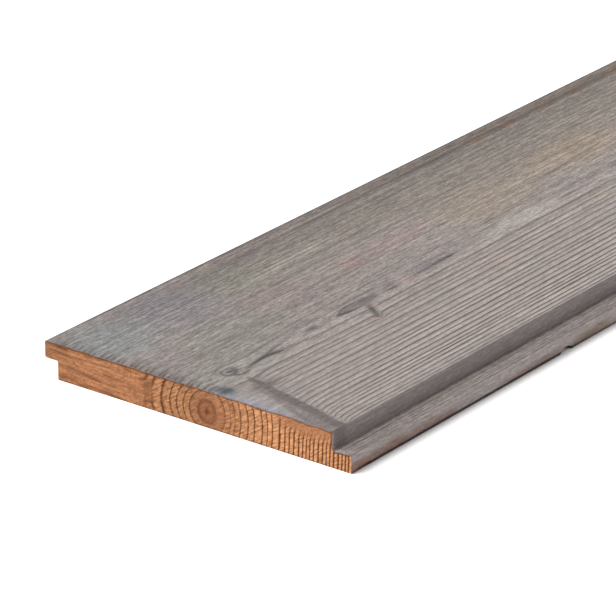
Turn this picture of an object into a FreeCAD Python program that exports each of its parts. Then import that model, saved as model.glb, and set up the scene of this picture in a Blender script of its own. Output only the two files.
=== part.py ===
"""Rebated cladding board (half-lap tongue and groove), lying face up.

One sawn and planed length of softwood. Each long edge is cut away to about half
the thickness: the upper lip on the +Y side laps over the lower lip that the next
board has on its -Y side. The laid boards then show a narrow shadow gap.

Frame, in millimetres: +X along the grain, +Y towards the upper lip, +Z out of the
face. The origin is at the middle of the back, on the surface that the board lies on.
"""

import FreeCAD, Part
import math
import os

# Driving dimensions of the planed board.
board_length = 2400.0
board_width = 196.0
board_thickness = 20.0

# The half-lap joint that one board makes with the next.
upper_lip_width = 8.5
lower_lip_thickness = 9.5
lap_clearance = 1.0
shadow_gap = 3.0

# Corners that the moulding cutters leave along the length.
face_arris_radius = 1.0
back_arris_radius = 0.6
inner_corner_radius = 0.8
corner_relief = 0.2

# What the lap joint and its clearances give.
lower_lip_width = upper_lip_width + shadow_gap
upper_lip_underside = lower_lip_thickness + lap_clearance
lip_arris_radius = inner_corner_radius + corner_relief

# Where the section's walls stand across the board.
upper_edge = board_width / 2
back_rebate_wall = upper_edge - upper_lip_width
lower_edge = -board_width / 2
face_shoulder = lower_edge + lower_lip_width


def section_corners():
    """Returns (y, z, radius) of each corner of the section, round from the back."""
    return [
        (back_rebate_wall, 0.0, back_arris_radius),
        (lower_edge, 0.0, back_arris_radius),
        (lower_edge, lower_lip_thickness, lip_arris_radius),
        (face_shoulder, lower_lip_thickness, inner_corner_radius),
        (face_shoulder, board_thickness, face_arris_radius),
        (upper_edge, board_thickness, face_arris_radius),
        (upper_edge, upper_lip_underside, lip_arris_radius),
        (back_rebate_wall, upper_lip_underside, inner_corner_radius),
    ]


def corner_arc(before, corner, after, radius):
    """Returns the arc of that radius that rounds a corner between its two neighbours."""
    towards_before = (before - corner).normalize()
    towards_after = (after - corner).normalize()
    half_angle = towards_before.getAngle(towards_after) / 2
    bisector = (towards_before + towards_after).normalize()
    setback = radius / math.tan(half_angle)
    crown = radius / math.sin(half_angle) - radius
    return Part.Arc(
        corner + towards_before * setback,
        corner + bisector * crown,
        corner + towards_after * setback,
    )


def rounded_section(end_x):
    """Returns the board's section as a face in the plane X = end_x."""
    corners = section_corners()
    points = [FreeCAD.Vector(end_x, y, z) for y, z, _ in corners]
    count = len(corners)
    arcs = [
        corner_arc(points[i - 1], points[i], points[(i + 1) % count], corners[i][2])
        for i in range(count)
    ]
    edges = []
    for i, arc in enumerate(arcs):
        following = arcs[(i + 1) % count]
        edges.append(arc.toShape())
        edges.append(Part.LineSegment(arc.EndPoint, following.StartPoint).toShape())
    return Part.Face(Part.Wire(edges))


def make_board():
    """Returns the board: its section carried along the whole length."""
    section = rounded_section(-board_length / 2)
    return section.extrude(FreeCAD.Vector(board_length, 0, 0))


os.makedirs("parts", exist_ok=True)
make_board().exportStep("parts/board.step")
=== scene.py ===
"""Brushed and grey-stained half-lap cladding board, lying face up on a pale floor.

One length of softwood, sawn with its pith inside it, so that the growth rings stand upright at both
edges. A single field of ring ages drives everything that shows: the ridges which the wire brush left on
the face, the stain and painted shade in their grooves, the lines on the sawn ends and the way the grain
turns round knots.

The frame is in metres with +X along the grain, +Y towards the upper lip and +Z out of the face. Sizes
inside the classes are in millimetres. Places on the board are given as a maker would measure them: a run
from the near end, a reach across from the upper lip's edge, and a height above the back.
"""

import logging
import math
from dataclasses import dataclass, field
from enum import IntEnum
from itertools import pairwise

import bpy
import numpy as np
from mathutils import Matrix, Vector
from mathutils.geometry import delaunay_2d_cdt


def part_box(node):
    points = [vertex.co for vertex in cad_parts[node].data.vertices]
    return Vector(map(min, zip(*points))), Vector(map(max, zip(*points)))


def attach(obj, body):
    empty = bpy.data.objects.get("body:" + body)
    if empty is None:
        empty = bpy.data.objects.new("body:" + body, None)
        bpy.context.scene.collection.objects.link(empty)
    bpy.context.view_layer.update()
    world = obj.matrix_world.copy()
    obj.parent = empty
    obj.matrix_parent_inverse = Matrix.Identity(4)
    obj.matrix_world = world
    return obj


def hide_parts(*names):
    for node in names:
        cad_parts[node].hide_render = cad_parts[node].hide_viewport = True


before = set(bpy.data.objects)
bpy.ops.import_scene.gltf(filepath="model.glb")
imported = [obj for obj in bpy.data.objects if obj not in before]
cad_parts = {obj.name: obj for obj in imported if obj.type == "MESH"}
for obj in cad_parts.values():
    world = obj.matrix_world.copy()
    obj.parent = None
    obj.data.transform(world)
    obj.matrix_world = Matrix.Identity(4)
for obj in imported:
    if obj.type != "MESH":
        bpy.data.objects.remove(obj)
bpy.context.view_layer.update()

LOG = logging.getLogger("cladding_board")
MM = 0.001
PLAIN_STAIN = "#968d89"
WHITE = (1.0, 1.0, 1.0, 1.0)

# How a Mix node lays one colour over another, and how it multiplies two colours.
OVER = {"data_type": "RGBA"}
TIMES = {"data_type": "RGBA", "blend_type": "MULTIPLY"}

Array = np.ndarray


class Surface(IntEnum):
    """The planed, brushed and rebated surfaces round the board's section, in the order they follow."""

    FACE = 0
    SHOULDER = 1
    LIP_TOP = 2
    LIP_SIDE = 3
    BACK = 4
    REBATE_WALL = 5
    LIP_UNDERSIDE = 6
    UPPER_EDGE = 7


def linear(hex_colour: str) -> tuple[float, float, float, float]:
    """Turns an sRGB colour into linear light.

    Args:
        hex_colour: the colour as #rrggbb.

    Returns:
        Red, green, blue and full alpha, as a shader socket takes them.
    """
    parts = [int(hex_colour[i : i + 2], 16) / 255 for i in (1, 3, 5)]
    bright = [c / 12.92 if c <= 0.04045 else ((c + 0.055) / 1.055) ** 2.4 for c in parts]
    return (*bright, 1.0)


def against_plain(hex_colour: str) -> Array:
    """What the plain stain is multiplied by to become a colour, as red, green and blue."""
    return np.array(linear(hex_colour)[:3]) / np.array(linear(PLAIN_STAIN)[:3])


def add_node(
    tree: bpy.types.NodeTree,
    kind: str,
    feeds: dict | None = None,
    stops: list[tuple[float, str]] | None = None,
    **settings,
) -> bpy.types.Node:
    """Adds one node, sets it up and links what feeds it.

    Args:
        tree: the node tree that gets the node.
        kind: Blender's name of the node, without ShaderNode in front.
        feeds: for each input, by name or number, a socket, a node whose first used output is linked, or a
            plain value.
        stops: places and hex colours, for a colour ramp.
        settings: the node's own properties.

    Returns:
        The new node.
    """
    node = tree.nodes.new("ShaderNode" + kind)
    for name, value in settings.items():
        setattr(node, name, value)
    for key, source in (feeds or {}).items():
        if isinstance(source, bpy.types.Node):
            source = next(output for output in source.outputs if output.enabled)
        if isinstance(source, bpy.types.NodeSocket):
            tree.links.new(source, node.inputs[key])
        else:
            node.inputs[key].default_value = source
    if stops:
        elements = node.color_ramp.elements
        while len(elements) < len(stops):
            elements.new(0.5)
        for element, (place, colour) in zip(elements, stops):
            element.position = place
            element.color = linear(colour)
    return node


def empty_tree(owner: bpy.types.Material | bpy.types.World) -> bpy.types.NodeTree:
    """Gives a material or a world a node tree with nothing in it.

    Args:
        owner: what gets the tree.

    Returns:
        The tree.
    """
    owner.use_nodes = True
    owner.node_tree.nodes.clear()
    return owner.node_tree


def smooth_step(value: Array, start: float | Array, end: float | Array) -> Array:
    """Rises from 0 at start to 1 at end along a cubic that is level at both.

    Args:
        value: where the step is wanted.
        start: the value that gives 0.
        end: the value that gives 1, which may be the lower of the two.

    Returns:
        The step at each value.
    """
    share = np.clip((value - start) / (end - start), 0.0, 1.0)
    return share * share * (3.0 - 2.0 * share)


def bell(offset: Array, half_width: float | Array, flatness: int = 2) -> Array:
    """Falls from 1 to nothing: the falling exponential of a power of offset over half width.

    Args:
        offset: distances from the middle.
        half_width: the distance at which about a third is left.
        flatness: the power, which is even.

    Returns:
        The bell at each offset.
    """
    return np.exp(-((offset / half_width) ** flatness))


def soft_least(first: Array, second: Array, softness: float) -> Array:
    """Takes the lesser of two fields and rounds the crease between them.

    The formula is minus the softness times the logarithm of the two fields' falling exponentials added up.

    Args:
        first: one field.
        second: the other field.
        softness: how far apart the fields are where the rounding ends.

    Returns:
        The rounded lesser field.
    """
    return -softness * np.logaddexp(-first / softness, -second / softness)


def drift(along: Array, lengths: tuple[float, ...], seed: int) -> Array:
    """Wanders slowly between about -1 and 1, as a sum of sine waves whose phases come from a seed.

    Args:
        along: distance along the wander.
        lengths: the wavelengths, in the same unit.
        seed: picks the phases.

    Returns:
        The wander at each distance.
    """
    phases = np.random.default_rng(seed).uniform(0.0, 2.0 * math.pi, len(lengths))
    waves = [np.sin(2.0 * math.pi * along / size + phase) for size, phase in zip(lengths, phases)]
    return sum(waves) / len(lengths)


@dataclass(frozen=True)
class Spots:
    """Points of the board.

    Attributes:
        run: their distances from the near end.
        reach: their distances from the upper lip's edge.
        height: their heights above the back.
    """

    run: Array
    reach: Array
    height: Array


@dataclass(frozen=True)
class Ramp:
    """A change over a stretch, with no corner where it starts and ends.

    Attributes:
        start: the measure at which nothing has changed yet.
        end: the measure at which the change is whole, which may be the lower of the two.
        amount: the whole change.
    """

    start: float
    end: float
    amount: float = 1.0

    def at(self, value: Array) -> Array:
        """The part of the change that is reached at each value."""
        return self.amount * smooth_step(value, self.start, self.end)


@dataclass(frozen=True)
class Branch:
    """A branch that the sawn board cuts through, as a straight cone of its own rings.

    Attributes:
        start: run, reach and height where the branch starts.
        end: run, reach and height where it leaves the board.
        rings_per_mm: how many of its rings lie in a millimetre from its axis.
        first_ring: the ring of the stem in which the branch starts.
        swell: how far it pushes the stem's rings outwards.
        swell_reach: the distance over which that push dies away.
        past_end: how many times its length its rings are felt over.
        blunt: rounds the rings at the axis, in square millimetres.
    """

    start: tuple[float, float, float]
    end: tuple[float, float, float]
    rings_per_mm: float
    first_ring: float = 0.0
    swell: float = 0.0
    swell_reach: float = 10.0
    past_end: float = 1.2
    blunt: float = 0.3

    def off_axis(self, at: Spots) -> Array:
        """Distance from the nearest point of the branch's axis, rounded at the axis itself.

        Args:
            at: points of the board.

        Returns:
            The distance of each point.
        """
        start = np.array(self.start)
        way = np.array(self.end) - start
        offset = np.stack(np.broadcast_arrays(at.run, at.reach, at.height), -1) - start
        share = np.clip(offset @ way / (way @ way), 0.0, self.past_end)
        across = offset - share[..., None] * way
        return np.sqrt((across**2).sum(-1) + self.blunt)


@dataclass(frozen=True)
class Trace:
    """A dark line that the grain, the pith, a knot or the saw draws on a flat surface.

    Attributes:
        points: at each bend of the line, its two places on the surface, half width and strength. The places
            are run and reach on the face, and reach and height on a sawn end.
    """

    points: tuple[tuple[float, float, float, float], ...]

    def moved(self, shift: float, share: float) -> "Trace":
        """The same line at another second place.

        Args:
            shift: what is added to the second place.
            share: what the strength is multiplied by.

        Returns:
            The new line.
        """
        bends = [(along, across + shift, half, deep * share) for along, across, half, deep in self.points]
        return line(*bends)

    def weight(self, along: Array, across: Array) -> Array:
        """The line's strength: a bell across the nearest of its straight pieces.

        Args:
            along: first places on the surface.
            across: second places on it.

        Returns:
            The strength at each point, from 0 to 1.
        """
        strongest = np.zeros(np.broadcast_shapes(along.shape, across.shape))
        for first, second in pairwise(np.array(self.points)):
            step = second - first
            share = ((along - first[0]) * step[0] + (across - first[1]) * step[1]) / (step[:2] @ step[:2])
            share = np.clip(share, 0.0, 1.0)
            away = np.hypot(along - first[0] - share * step[0], across - first[1] - share * step[1])
            strength = first[3] + share * step[3]
            strongest = np.maximum(strongest, strength * bell(away, first[2] + share * step[2]))
        return strongest


def line(*points: tuple[float, float, float, float]) -> Trace:
    """A trace through points, each with two places, half width and strength."""
    return Trace(points)


@dataclass(frozen=True)
class Patch:
    """A soft oval on a flat surface, mostly one in which the stain has another colour.

    Attributes:
        along: first place of its middle on the surface.
        across: second place of it.
        half_length: half its size in the first direction.
        half_width: half its size in the second.
        hue: the colour that the plain stain takes in its middle.
        flatness: how flat its top is and how steep its border.
    """

    along: float
    across: float
    half_length: float
    half_width: float
    hue: str = PLAIN_STAIN
    flatness: int = 2

    def weight(self, along: Array, across: Array) -> Array:
        """The patch's strength: a flat-topped bell over an oval.

        Args:
            along: first places on the surface.
            across: second places on it.

        Returns:
            The strength at each point, from 0 to 1.
        """
        first = (along - self.along) / self.half_length
        second = (across - self.across) / self.half_width
        return np.exp(-((first**2 + second**2) ** self.flatness))


@dataclass
class GrowthRings:
    """The tree's rings where the board was sawn from it, as an age in years at any point of the board.

    Attributes:
        pith_reach: how far across the pith lies over most of the length.
        pith_height: height of the pith over most of the length.
        wander: how far the pith wanders across.
        wander_lengths: lengths of that wander.
        end_shift: how much further across the pith lies at the near end.
        end_drop: how much lower the pith lies at the near end.
        end_shift_run: the run over which the shift across dies away.
        end_drop_run: the run over which the drop dies away.
        shift_width: how far from the pith the shift is still felt.
        far_sink: how much lower the pith lies towards the far end, along the run.
        ring_width: width of a ring towards the lower lip.
        far_ring_width: width of a ring towards the upper lip.
        sides: where the one width changes to the other, from the pith.
        crowded_rings: how many more rings crowd together at the lower lip.
        crowded_reach: distance from the pith at which they are counted.
        uneven_years: amount, length, phase and change of phase past the pith of each wave in the ring widths.
        first_years_reach: distance from the pith up to which the first, wide rings lie, one fewer than else.
        lean: how strongly the rings lean outwards over the near end's spike knot, per millimetre of height.
        lean_height: height from which they do.
        lean_reach: where they start to, across the board.
        lean_run: the run over which the lean dies away.
        ring_softness: how softly the rings of stem and branch join.
        spikes: the branches that the board cuts through.
    """

    pith_reach: float = 100.0
    pith_height: float = 18.5
    wander: float = 1.1
    wander_lengths: tuple[float, ...] = (1700.0, 940.0, 430.0)
    end_shift: float = 5.8
    end_drop: float = 9.7
    end_shift_run: float = 30.0
    end_drop_run: float = 75.0
    shift_width: float = 22.0
    far_sink: Ramp = Ramp(420.0, 1300.0, 7.0)
    ring_width: float = 4.5
    far_ring_width: float = 4.3
    sides: Ramp = Ramp(-12.0, 12.0)
    crowded_rings: float = 3.4
    crowded_reach: float = 86.0
    uneven_years: tuple[tuple[float, float, float, float], ...] = (
        (0.16, 3.7, 0.0, 0.8),
        (0.1, 1.9, 2.0, 0.0),
    )
    first_years_reach: float = 11.34
    lean: float = 0.07
    lean_height: float = 9.0
    lean_reach: Ramp = Ramp(146.0, 166.0)
    lean_run: float = 12.0
    ring_softness: float = 0.5
    spikes: tuple[Branch, ...] = (
        Branch(start=(1.0, 64.0, 9.5), end=(3.0, 0.0, 10.5), rings_per_mm=0.5, first_ring=9.3),
        Branch((30.0, 100.0, 15.0), (7.5, 184.0, 19.0), rings_per_mm=4.0, swell=1.8, swell_reach=7.0),
        Branch((25.6, 100.3, 9.0), (25.6, 100.3, 20.0), rings_per_mm=0.7, swell=2.0, swell_reach=5.0),
        Branch((138.0, 103.0, 19.0), (130.0, 117.5, 20.0), rings_per_mm=2.5, swell=1.2, swell_reach=4.0),
    )

    def from_pith(self, at: Spots) -> Array:
        """Distance from the pith, which bends down and across towards the near end.

        The bend fades along the board as a bell, and across it so that the outer rings stay straight.

        Args:
            at: points of the board.

        Returns:
            The distance of each point.
        """
        across = at.reach - self.pith_reach - self.wander * drift(at.run, self.wander_lengths, seed=3)
        across = across - self.end_shift * bell(at.run, self.end_shift_run) * bell(across, self.shift_width)
        over_knot = self.lean_reach.at(at.reach) * bell(at.run, self.lean_run)
        across = across - self.lean * over_knot * np.maximum(at.height - self.lean_height, 0.0) ** 2
        drop = self.end_drop * bell(at.run, self.end_drop_run)
        return np.hypot(across, at.height - self.pith_height + drop + self.far_sink.at(at.run))

    def age(self, at: Spots) -> Array:
        """Ring number at each point: distance from the pith over ring width, joined to the branches' rings.

        Stem and branch meet where their ages are equal, so the age is the soft lesser of the two. A swell
        near each branch carries the stem's rings outwards round it.

        Args:
            at: points of the board.

        Returns:
            The ring number of each point, with a whole number at each year's end.
        """
        radius = self.from_pith(at)
        off_axes = [spike.off_axis(at) for spike in self.spikes]
        for spike, off in zip(self.spikes, off_axes):
            radius = radius - spike.swell * np.exp(-off / spike.swell_reach)
        radius = np.maximum(radius, 0.0)
        outward = at.reach - self.pith_reach
        side = self.sides.at(outward)
        width = self.far_ring_width + (self.ring_width - self.far_ring_width) * side
        rings = radius / width - np.minimum(radius / self.first_years_reach, 1.0)
        rings = rings + self.crowded_rings * (np.maximum(outward, 0.0) / self.crowded_reach) ** 4
        for amount, length, phase, turn in self.uneven_years:
            rings = rings + amount * np.sin(radius / length + phase + turn * side)
        for spike, off in zip(self.spikes, off_axes):
            own = spike.first_ring + spike.rings_per_mm * off
            rings = soft_least(rings, own, self.ring_softness)
        return rings


@dataclass
class HalfLapSection:
    """The board's section across the grain: a half-lap lip on each edge and eased arrises.

    Attributes:
        width: whole width over both lips.
        thickness: whole thickness.
        upper_lip_width: how far the upper lip reaches past the back.
        lower_lip_thickness: height of the lower lip's top.
        lap_clearance: play between two lapped lips.
        shadow_gap: gap that two laid boards show between their faces.
        face_arris: radius of the face's two arrises.
        back_arris: radius of the back's two arrises.
        inner_corner: radius inside the two rebates.
        lip_arris: radius of the lips' arrises that seat in the rebates.
        thin_edge_stain: how much less the stain creeps over the ends from the upper lip's edge.
        arc_steps: number of facets round each corner.
        fine_column: spacing of the face's columns past the pith.
        middle_column: spacing of the face's columns before the pith.
        column_steps: number of columns on each other surface.
    """

    width: float
    thickness: float
    upper_lip_width: float = 8.5
    lower_lip_thickness: float = 9.5
    lap_clearance: float = 1.0
    shadow_gap: float = 3.0
    face_arris: float = 1.0
    back_arris: float = 0.6
    inner_corner: float = 0.8
    lip_arris: float = 1.0
    thin_edge_stain: float = 0.8
    arc_steps: int = 4
    fine_column: float = 0.5
    middle_column: float = 0.62
    column_steps: dict[Surface, int] = field(
        default_factory=lambda: {
            Surface.SHOULDER: 12,
            Surface.LIP_TOP: 22,
            Surface.LIP_SIDE: 14,
            Surface.BACK: 44,
            Surface.REBATE_WALL: 7,
            Surface.LIP_UNDERSIDE: 6,
            Surface.UPPER_EDGE: 8,
        }
    )

    @property
    def shoulder_reach(self) -> float:
        """Reach of the shoulder wall that stands over the lower lip."""
        return self.width - self.upper_lip_width - self.shadow_gap

    @property
    def upper_lip_underside(self) -> float:
        """Height of the upper lip's underside."""
        return self.lower_lip_thickness + self.lap_clearance

    def corners(self) -> list[tuple[float, float, float]]:
        """Reach, height and radius of each corner, from the face's left arris round over the face."""
        return [
            (0.0, self.thickness, self.face_arris),
            (self.shoulder_reach, self.thickness, self.face_arris),
            (self.shoulder_reach, self.lower_lip_thickness, self.inner_corner),
            (self.width, self.lower_lip_thickness, self.lip_arris),
            (self.width, 0.0, self.back_arris),
            (self.upper_lip_width, 0.0, self.back_arris),
            (self.upper_lip_width, self.upper_lip_underside, self.inner_corner),
            (0.0, self.upper_lip_underside, self.lip_arris),
        ]

    def run_shares(self, surface: Surface, length: float, ring_reach: float) -> Array:
        """Where the columns stand between two corners, as shares of the straight run.

        The face has narrow columns past the pith, where the brush cut deep, and wider ones before it.

        Args:
            surface: the surface that the run belongs to.
            length: the run's length.
            ring_reach: length of the face's part before the pith.

        Returns:
            Rising shares without the run's two ends.
        """
        if surface is not Surface.FACE:
            return np.linspace(0.0, 1.0, self.column_steps[surface] + 1)[1:-1]
        before = np.arange(self.middle_column, ring_reach, self.middle_column)
        after = np.arange(ring_reach, length - self.fine_column / 2, self.fine_column)
        return np.concatenate([before, after]) / length

    def outline(self, pith_reach: float) -> tuple[Array, Array, Array]:
        """Points round the section: an arc at each corner and a straight run to the next.

        An arc turns between the two runs' normals about a centre that lies one radius from both runs.

        Args:
            pith_reach: where the columns of the face change their spacing.

        Returns:
            Reach and height of each point, the outward normal there, and the surface it belongs to.
        """
        corners = np.array(self.corners())
        spots = corners[:, :2]
        radii = corners[:, 2]
        to_next = np.roll(spots, -1, 0) - spots
        unit = to_next / np.linalg.norm(to_next, axis=1)[:, None]
        normals = np.stack([-unit[:, 1], unit[:, 0]], 1)
        turn = np.linspace(0.0, math.pi / 2, self.arc_steps + 1)[:, None]
        points, facing, owner = [], [], []
        for index, surface in enumerate(Surface):
            before, after = unit[index - 1], unit[index]
            radius = radii[index]
            convex = before[0] * after[1] - before[1] * after[0] < 0.0
            sign = 1.0 if convex else -1.0
            blend = np.cos(turn) * normals[index - 1] + np.sin(turn) * normals[index]
            centre = spots[index] - radius * sign * (normals[index - 1] + normals[index])
            points.append(centre + sign * radius * blend)
            facing.append(blend)
            owner.append(np.where(turn[:, 0] < math.pi / 4, surface - 1, surface) % len(Surface))
            start = spots[index] + after * radius
            length = np.linalg.norm(to_next[index]) - radius - radii[(index + 1) % len(radii)]
            shares = self.run_shares(surface, length, pith_reach - radius)[:, None]
            points.append(start + after * length * shares)
            facing.append(np.broadcast_to(normals[index], (len(shares), 2)))
            owner.append(np.full(len(shares), int(surface)))
        return np.concatenate(points), np.concatenate(facing), np.concatenate(owner)

    def inside(self, reach: Array, height: Array, margin: float) -> Array:
        """Which points lie inside the section by at least a margin.

        Args:
            reach: distances from the upper lip's edge.
            height: heights above the back.
            margin: least distance from the outline.

        Returns:
            True for each point that does.
        """
        core = (reach > self.upper_lip_width + margin) & (reach < self.shoulder_reach - margin)
        core &= (height > margin) & (height < self.thickness - margin)
        upper = (reach > margin) & (reach <= self.upper_lip_width + margin)
        upper &= (height > self.upper_lip_underside + margin) & (height < self.thickness - margin)
        lower = (reach >= self.shoulder_reach - margin) & (reach < self.width - margin)
        lower &= (height > margin) & (height < self.lower_lip_thickness - margin)
        return core | upper | lower

    def from_stain(self, at: Spots) -> Array:
        """Distance of points inside the section from the surfaces on which the stain was brushed thick.

        Args:
            at: points of the board.

        Returns:
            The least distance from the face or the lower lip's top, from the shoulder, and from the upper
            lip's edge, which counts as further away because its stain is thin.
        """
        on_lip = at.reach > self.shoulder_reach
        top = np.where(on_lip, self.lower_lip_thickness, self.thickness) - at.height
        above_lip = at.height > self.lower_lip_thickness
        shoulder = np.where(above_lip, self.shoulder_reach - at.reach, self.width)
        return np.minimum(np.minimum(np.abs(top), np.abs(shoulder)), at.reach + self.thin_edge_stain)


@dataclass(frozen=True)
class Skin:
    """The planed skin before the brush, in rows along the board and columns round the section.

    Attributes:
        at: its points.
        outline: reach and height of each column.
        facing: the outward normal of each column, across and up.
        owner: the surface of each column.
        age: ring number of each point.
    """

    at: Spots
    outline: Array
    facing: Array
    owner: Array
    age: Array


@dataclass
class FaceMarks:
    """The marks that knots, pith and stain leave on the face, each where a maker would measure it.

    Attributes:
        traces: dark lines of the pin knot, the pith and the spike knot, and single dark fibres.
        end_groove: a short groove at the near end, from reach 0.
        end_groove_reaches: where such grooves start.
        nick: a short nick that the saw tore into the near end's arris, from reach 0.
        nick_span: reaches between which such nicks lie.
        nick_spacing: their mean distance from each other.
        nick_stray: how far they lie off it.
        nick_stray_lengths: lengths over which that changes.
        nick_least: strength of the faintest nicks.
        nick_more: how much stronger they get across the board.
        band_reaches: reaches at which the spike knot's crisp border is given.
        band_border: the border's runs there.
        wing_border: runs there of the outer border, on the side of the near end.
        band_start: reach at which the spike knot comes to the face.
        band_opening: how it opens from there to its full width.
        band_width: the dark core's full width along the grain.
        band_tip_share: share of that width at the tip.
        band_edge: how crisp the border is.
        band_tip: how far it has opened where it shows fully.
        core_fade: how far past and before its width the core fades.
        wing_edge: how crisp the outer border is.
        band_strength: how much darker the knot's core is.
        wing_strength: how much darker the wood is between the core and the outer border.
        streak_strength: how much the streaks along the band change it.
        streak_lengths: distances between those streaks.
        streak_wave: how far the streaks waver.
        streak_wave_lengths: lengths of that.
        patches: areas where the stain has taken another colour.
    """

    traces: tuple[Trace, ...] = (
        # The pin knot: its eye, the crescent round it and the tail that the pith leaves behind it.
        line((24.2, 99.9, 1.1, 1.0), (27.0, 100.5, 1.1, 1.0)),
        line(
            (24.0, 96.4, 1.0, 0.6), (21.0, 98.0, 1.0, 0.65),
            (20.8, 101.6, 1.0, 0.65), (23.6, 104.4, 1.0, 0.75),
        ),
        line(
            (26.2, 96.1, 0.8, 0.35), (29.0, 98.5, 1.8, 0.6), (29.4, 101.0, 1.9, 0.66),
            (25.9, 103.4, 1.2, 0.75), (24.2, 104.8, 1.0, 0.75), (27.0, 106.8, 0.9, 0.8),
            (30.4, 107.2, 0.9, 0.8), (33.7, 106.2, 0.9, 0.7), (37.1, 103.7, 1.0, 0.7),
            (41.6, 103.4, 1.1, 0.8), (46.7, 102.8, 1.5, 1.0), (53.5, 102.4, 1.8, 1.0),
            (57.9, 104.0, 1.5, 1.0), (62.5, 104.7, 1.1, 0.95), (66.0, 104.6, 0.7, 0.3),
            (86.0, 105.1, 0.7, 0.25),
        ),
        line(
            (53.0, 101.8, 0.9, 0.9), (57.0, 100.8, 0.8, 0.8),
            (64.0, 99.7, 0.8, 0.6), (84.0, 96.9, 0.7, 0.4),
        ),
        line(
            (18.0, 98.0, 0.9, 0.35), (19.6, 95.8, 0.9, 0.5), (22.5, 93.6, 0.8, 0.5), (26.5, 93.0, 0.7, 0.45),
            (36.0, 94.4, 0.8, 0.5), (50.0, 94.7, 0.8, 0.55),
            (67.0, 93.0, 0.7, 0.45), (104.0, 91.0, 0.7, 0.35),
        ),
        line((8.5, 99.2, 0.8, 0.3), (11.8, 98.9, 0.9, 0.6), (13.6, 98.4, 0.8, 0.3)),
        # Where the pith runs out of the face: a smudge, a leaf-shaped eye, a swirl and a long streak.
        line((88.0, 100.6, 1.5, 0.3), (94.0, 100.2, 2.1, 0.85), (99.0, 99.4, 1.5, 0.4)),
        line((104.0, 100.9, 1.4, 0.3), (109.0, 100.4, 1.5, 0.4)),
        line(
            (119.0, 100.2, 1.4, 0.4), (129.0, 99.8, 2.6, 0.42),
            (140.0, 99.4, 2.4, 0.4), (148.0, 98.4, 1.6, 0.3),
        ),
        line(
            (114.5, 100.4, 0.6, 0.5), (117.0, 100.8, 1.2, 0.95),
            (121.5, 101.6, 1.3, 1.0), (126.0, 102.5, 0.9, 0.8),
            (136.0, 103.1, 0.8, 0.55), (142.0, 103.0, 0.7, 0.2),
        ),
        line(
            (118.0, 99.6, 0.9, 0.7), (121.0, 98.4, 0.9, 0.75),
            (125.5, 97.1, 0.9, 0.8), (137.0, 97.0, 0.8, 0.6),
        ),
        line((137.0, 97.0, 1.0, 0.5), (143.0, 98.4, 1.6, 0.45), (149.0, 100.4, 1.4, 0.35)),
        line(
            (122.0, 93.6, 0.7, 0.2), (130.0, 93.3, 0.8, 0.4),
            (154.0, 93.3, 0.9, 0.4), (158.0, 94.0, 0.8, 0.2),
        ),
        line(
            (158.0, 100.6, 1.0, 0.5), (161.0, 101.4, 1.1, 0.75),
            (166.5, 101.2, 1.1, 0.75), (168.0, 98.4, 1.0, 0.6),
        ),
        line((159.0, 98.6, 0.9, 0.45), (163.0, 97.4, 0.9, 0.5), (167.5, 97.6, 0.9, 0.5)),
        line(
            (180.0, 100.5, 0.7, 0.3), (186.0, 100.1, 0.8, 0.75),
            (201.0, 100.0, 0.9, 0.7), (208.0, 99.6, 1.3, 0.9),
            (217.0, 99.6, 1.2, 0.9), (224.0, 99.4, 0.8, 0.5), (240.0, 98.8, 0.7, 0.2),
        ),
        # A thin branch that slants across the grain.
        line((136.6, 105.0, 1.5, 0.6), (133.0, 110.5, 1.9, 0.85), (128.0, 117.6, 1.6, 0.75)),
        # Where the spike knot comes to the face, the feathers beside it and a second streak along it.
        line(
            (25.6, 112.6, 1.4, 0.45), (24.9, 115.5, 2.0, 0.72),
            (24.2, 120.0, 2.6, 0.7), (23.0, 125.0, 4.0, 0.62),
        ),
        line(
            (15.5, 124.0, 1.4, 0.35), (18.5, 123.6, 2.0, 0.6),
            (26.0, 124.6, 2.4, 0.66), (30.5, 124.8, 1.6, 0.4),
        ),
        line((17.6, 122.6, 0.9, 0.45), (20.6, 119.4, 0.8, 0.5)),
        line((28.0, 115.6, 0.7, 0.45), (33.5, 114.0, 0.7, 0.5), (39.5, 112.6, 0.6, 0.35)),
        line((27.0, 125.3, 0.8, 0.5), (36.5, 124.5, 0.8, 0.5)),
        line((26.5, 128.5, 0.8, 0.5), (36.0, 128.6, 0.7, 0.4)),
        line((8.6, 148.0, 1.2, 0.3), (7.4, 154.0, 1.7, 0.5), (5.0, 160.0, 1.8, 0.5), (1.6, 168.0, 1.8, 0.45)),
        line((9.2, 150.4, 0.8, 0.6), (9.8, 151.4, 0.8, 0.6)),
        # Dark fibres along the upper lip's side and single ones further on.
        line(
            (124.0, 11.6, 0.6, 0.1), (150.0, 11.4, 0.8, 0.7), (180.0, 11.0, 0.7, 0.4),
            (215.0, 10.9, 0.9, 0.72), (262.0, 10.3, 0.7, 0.35), (330.0, 10.4, 1.2, 0.74),
            (362.0, 9.8, 0.8, 0.3), (480.0, 10.0, 1.1, 0.52), (760.0, 9.4, 0.8, 0.0),
        ),
        line(
            (334.0, 75.2, 0.6, 0.1), (350.0, 74.0, 0.8, 0.45),
            (400.0, 70.0, 0.8, 0.45), (412.0, 69.0, 0.6, 0.1),
        ),
        line(
            (318.0, 100.0, 0.7, 0.1), (327.0, 100.0, 1.0, 0.65),
            (338.0, 100.0, 0.9, 0.55), (346.0, 100.0, 0.7, 0.1),
        ),
        line((272.5, 115.6, 0.8, 0.6), (275.5, 115.6, 0.8, 0.6)),
        line(
            (120.0, 112.0, 0.5, 0.0), (165.0, 111.6, 0.6, 0.42),
            (420.0, 111.0, 0.6, 0.36), (700.0, 111.0, 0.5, 0.0),
        ),
    )
    end_groove: Trace = line((0.0, 0.0, 0.9, 0.6), (7.0, -2.0, 0.8, 0.45), (15.0, -3.4, 0.7, 0.0))
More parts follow.
